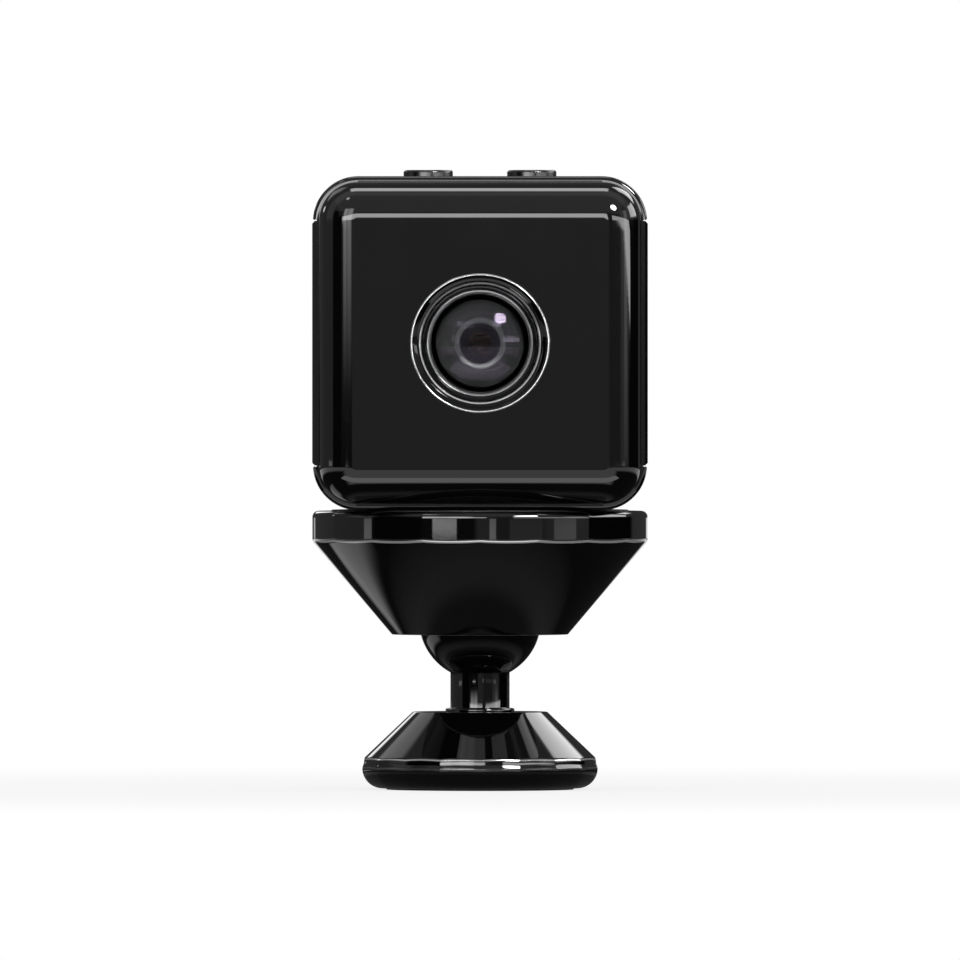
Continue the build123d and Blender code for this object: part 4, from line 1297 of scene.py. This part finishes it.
def tent_material(middle_z):
    """Grey tent, darker behind, with bright panels, round lamps and black flags."""
    material, tree = new_tree("light tent")
    unit, angles = tent_directions(tree, middle_z)

    def patch(across, rise, left, right, low, high, soft):
        """1 inside a four-sided patch of the tent."""
        sideways = window(tree, angles[across], left, right, soft)
        return sideways * window(tree, angles[rise], low, high, soft)

    tone = ranged(tree, angles["back"], -20.0, 80.0, 0.3, 0.04)
    for *limits, held in TENT_FLAGS:
        tone = tone * (1.0 - patch("round", "up", *limits) * held)
    for directions, panels in TENT_PANELS.items():
        for *limits, bright in panels:
            tone = tone + patch(*directions, *limits) * bright
    for bearing, rise, half_angle, bright in TENT_LAMPS:
        turn, lift = radians(bearing), radians(rise)
        towards = (sin(turn) * cos(lift), -cos(turn) * cos(lift), sin(lift))
        facing = vector(tree, "DOT_PRODUCT", unit, towards, output="Value")
        edge = [cos(radians(half_angle + soft)) for soft in (0.6, -0.6)]
        tone = tone + ranged(tree, facing, *edge, smooth=True) * bright
    grey = add_node(tree, "CombineColor", (tone, tone, tone))[0]
    return shown(material, emission(tree, 1.0, grey))


def emission(tree, strength, colour_of=(1, 1, 1, 1)):
    """Shader of a light."""
    return add_node(tree, "Emission", {"Color": colour_of, "Strength": strength})[0]


def shown(material, shader):
    """Finish a material with a shader of its own."""
    add_node(material.node_tree, "OutputMaterial", {"Surface": shader})
    return material


def floor_material(tone):
    """Floor that is seen white, with the object's shade; in gloss and glass it shows painted shade,
    dim grey round the base and near-black further out, with painted bright patches ahead and to the
    left and white far out.
    """
    material, tree = new_tree("studio floor")
    point = object_point(tree)
    away = vector(tree, "LENGTH", point, output="Value")
    split = add_node(tree, "SeparateXYZ", (point,))
    bearing = split["X"].maths("ARCTAN2", -split["Y"]) * (180 / pi)
    path = add_node(tree, "LightPath")
    seen, mirrored = path["Is Camera Ray"], path["Is Glossy Ray"] | path["Is Transmission Ray"]

    def beyond(low, high, *levels, smooth=False):
        """Level that changes between two distances in mm from the middle."""
        return ranged(tree, away, low * MM, high * MM, *levels, smooth=smooth)

    # Painted light, seen only in gloss and glass: bright patches to the left and ahead.
    left = window(tree, bearing, -138, -88, 6) * window(tree, away, 25 * MM, 46 * MM, 3 * MM)
    ahead = window(tree, bearing, -36, 36, 6) * beyond(34, 38, smooth=True)
    white_and_painted_light = ahead | (beyond(110, 160, smooth=True) | left * 0.8)
    # Painted shade, seen only in gloss and glass: dim grey close to the base, near-black further
    # out.
    near = beyond(12, 13.5, 0.07, 0.17) * beyond(15, 21, 1.0, 0.12)
    strength = seen + mirrored * (near + white_and_painted_light * (1.0 - near))
    share = seen * beyond(40, 120, 0.8, 1.0, smooth=True) + mirrored
    paint = mixed(tree, noise(tree, point, 900.0), *shades(tone, 0.97, 1.03))
    lit = add_node(tree, "BsdfDiffuse", {"Color": paint})[0]
    return shown(material, add_node(tree, "MixShader", (share, lit, emission(tree, strength)))[0])


class CUBE_CAMERA_OT_stage(bpy.types.Operator):
    """Floor, light tent, cards, white surroundings and the viewing camera"""

    bl_idname = "cube_camera.stage"
    bl_label = "Stage"

    def execute(self, context):
        sizes = context.scene.cube_camera
        self.floor(sizes.studio, sizes.finishes)
        self.tent(sizes.studio)
        self.card("floor_card", 2.2, spans=(90, 20, 0), place=(0, -48, 0.1))
        before_lens = (0.25, -25, CUBE_CENTRE_Z / MM + 3.75)
        self.card("lens_card", 0.3, spans=(23.5, 0, 8.1), place=before_lens, for_glass=True)
        self.surroundings(context.scene)
        self.viewpoint(context.scene, sizes.studio)
        context.scene.view_settings.view_transform = "Standard"
        return {"FINISHED"}

    def floor(self, studio, finishes):
        """Round floor."""
        bm = bmesh.new()
        bmesh.ops.create_circle(bm, cap_ends=True, radius=studio.floor, segments=96)
        floor = mesh_object("floor", bm)
        floor.data.materials.append(floor_material(finishes.floor))

    def tent(self, studio):
        """Tent that shows only in gloss and glass."""
        bm = bmesh.new()
        bmesh.ops.create_icosphere(bm, subdivisions=5, radius=studio.tent)
        bmesh.ops.translate(bm, verts=bm.verts, vec=(0, 0, CUBE_CENTRE_Z))
        bmesh.ops.reverse_faces(bm, faces=bm.faces)
        tent = mesh_object("light_tent", bm)
        tent.data.shade_smooth()
        tent.data.materials.append(tent_material(CUBE_CENTRE_Z))
        tent.visible_camera = tent.visible_diffuse = tent.visible_shadow = False

    def card(self, name, brightness, spans, place, for_glass=False):
        """Flat card seen only in gloss and glass, or only in clear glass; spans and place in mm."""
        wide, high = [axis for axis in range(3) if spans[axis]]
        bm = bmesh.new()
        corners = []
        for first, second in ((-1, -1), (1, -1), (1, 1), (-1, 1)):
            corner = [coordinate * MM for coordinate in place]
            corner[wide] += first * spans[wide] * MM / 2
            corner[high] += second * spans[high] * MM / 2
            corners.append(bm.verts.new(corner))
        bm.faces.new(corners)
        card = mesh_object(name, bm)
        material, tree = new_tree(name)
        light = emission(tree, brightness)
        if for_glass:
            clear = add_node(tree, "BsdfTransparent")[0]
            sharp = add_node(tree, "LightPath")["Is Singular Ray"]
            light = add_node(tree, "MixShader", (sharp, clear, light))[0]
        card.data.materials.append(shown(material, light))
        card.visible_camera = card.visible_diffuse = card.visible_shadow = False

    def surroundings(self, scene):
        """White world behind everything."""
        world = bpy.data.worlds.new("surroundings")
        world.use_nodes = True
        tree = world.node_tree
        tree.nodes.clear()
        path = add_node(tree, "LightPath")
        seen = path["Is Camera Ray"] | path["Is Glossy Ray"] | path["Is Transmission Ray"]
        strength = ranged(tree, seen, 0.0, 1.0, 0.8, 1.0)
        light = add_node(tree, "Background", {"Color": (1, 1, 1, 1), "Strength": strength})[0]
        add_node(tree, "OutputWorld", {"Surface": light})
        scene.world = world

    def viewpoint(self, scene, studio):
        """Level camera straight in front of the lens."""
        data = bpy.data.cameras.new("viewpoint")
        data.sensor_width = 36.0
        data.lens = data.sensor_width * studio.distance / studio.view_width
        data.shift_y = (studio.view_middle - CUBE_CENTRE_Z) / studio.view_width
        data.clip_start = 0.01
        viewpoint = bpy.data.objects.new("viewpoint", data)
        viewpoint.location = (0, -studio.distance, CUBE_CENTRE_Z)
        viewpoint.rotation_euler = (pi / 2, 0, 0)
        scene.collection.objects.link(viewpoint)
        scene.camera = viewpoint


# ---- sidebar
OPERATORS = (
    CUBE_CAMERA_OT_finishes, CUBE_CAMERA_OT_base, CUBE_CAMERA_OT_ball, CUBE_CAMERA_OT_holder,
    CUBE_CAMERA_OT_sleeve, CUBE_CAMERA_OT_covers, CUBE_CAMERA_OT_buttons, CUBE_CAMERA_OT_lens,
    CUBE_CAMERA_OT_stage,
)


class CUBE_CAMERA_PT_panel(bpy.types.Panel):
    """Sizes, colours and the steps that make the pieces"""

    bl_label = "Cube Camera"
    bl_idname = "CUBE_CAMERA_PT_panel"
    bl_space_type = "VIEW_3D"
    bl_region_type = "UI"
    bl_category = "Cube Camera"

    def draw(self, context):
        settings = context.scene.cube_camera
        for part in ("stand", "casing", "lens", "finishes", "studio"):
            group, box = getattr(settings, part), self.layout.box()
            for name in group.bl_rna.properties.keys():
                if name not in ("rna_type", "name"):
                    box.prop(group, name, text=name.replace("_", " ").capitalize())
        for operator in OPERATORS:
            self.layout.operator(operator.bl_idname)


GROUPS = (StandSizes, CasingSizes, LensSizes, Finishes, Studio, CubeCamera)
CLASSES = (*GROUPS, *OPERATORS, CUBE_CAMERA_PT_panel)


def register():
    for item in CLASSES:
        bpy.utils.register_class(item)
    bpy.types.Scene.cube_camera = PointerProperty(type=CubeCamera)


def unregister():
    del bpy.types.Scene.cube_camera
    for item in reversed(CLASSES):
        bpy.utils.unregister_class(item)


def main():
    """Make every piece and the stage."""
    register()
    for operator in OPERATORS:
        category, name = operator.bl_idname.split(".")
        getattr(getattr(bpy.ops, category), name)()


if __name__ == "__main__":
    main()
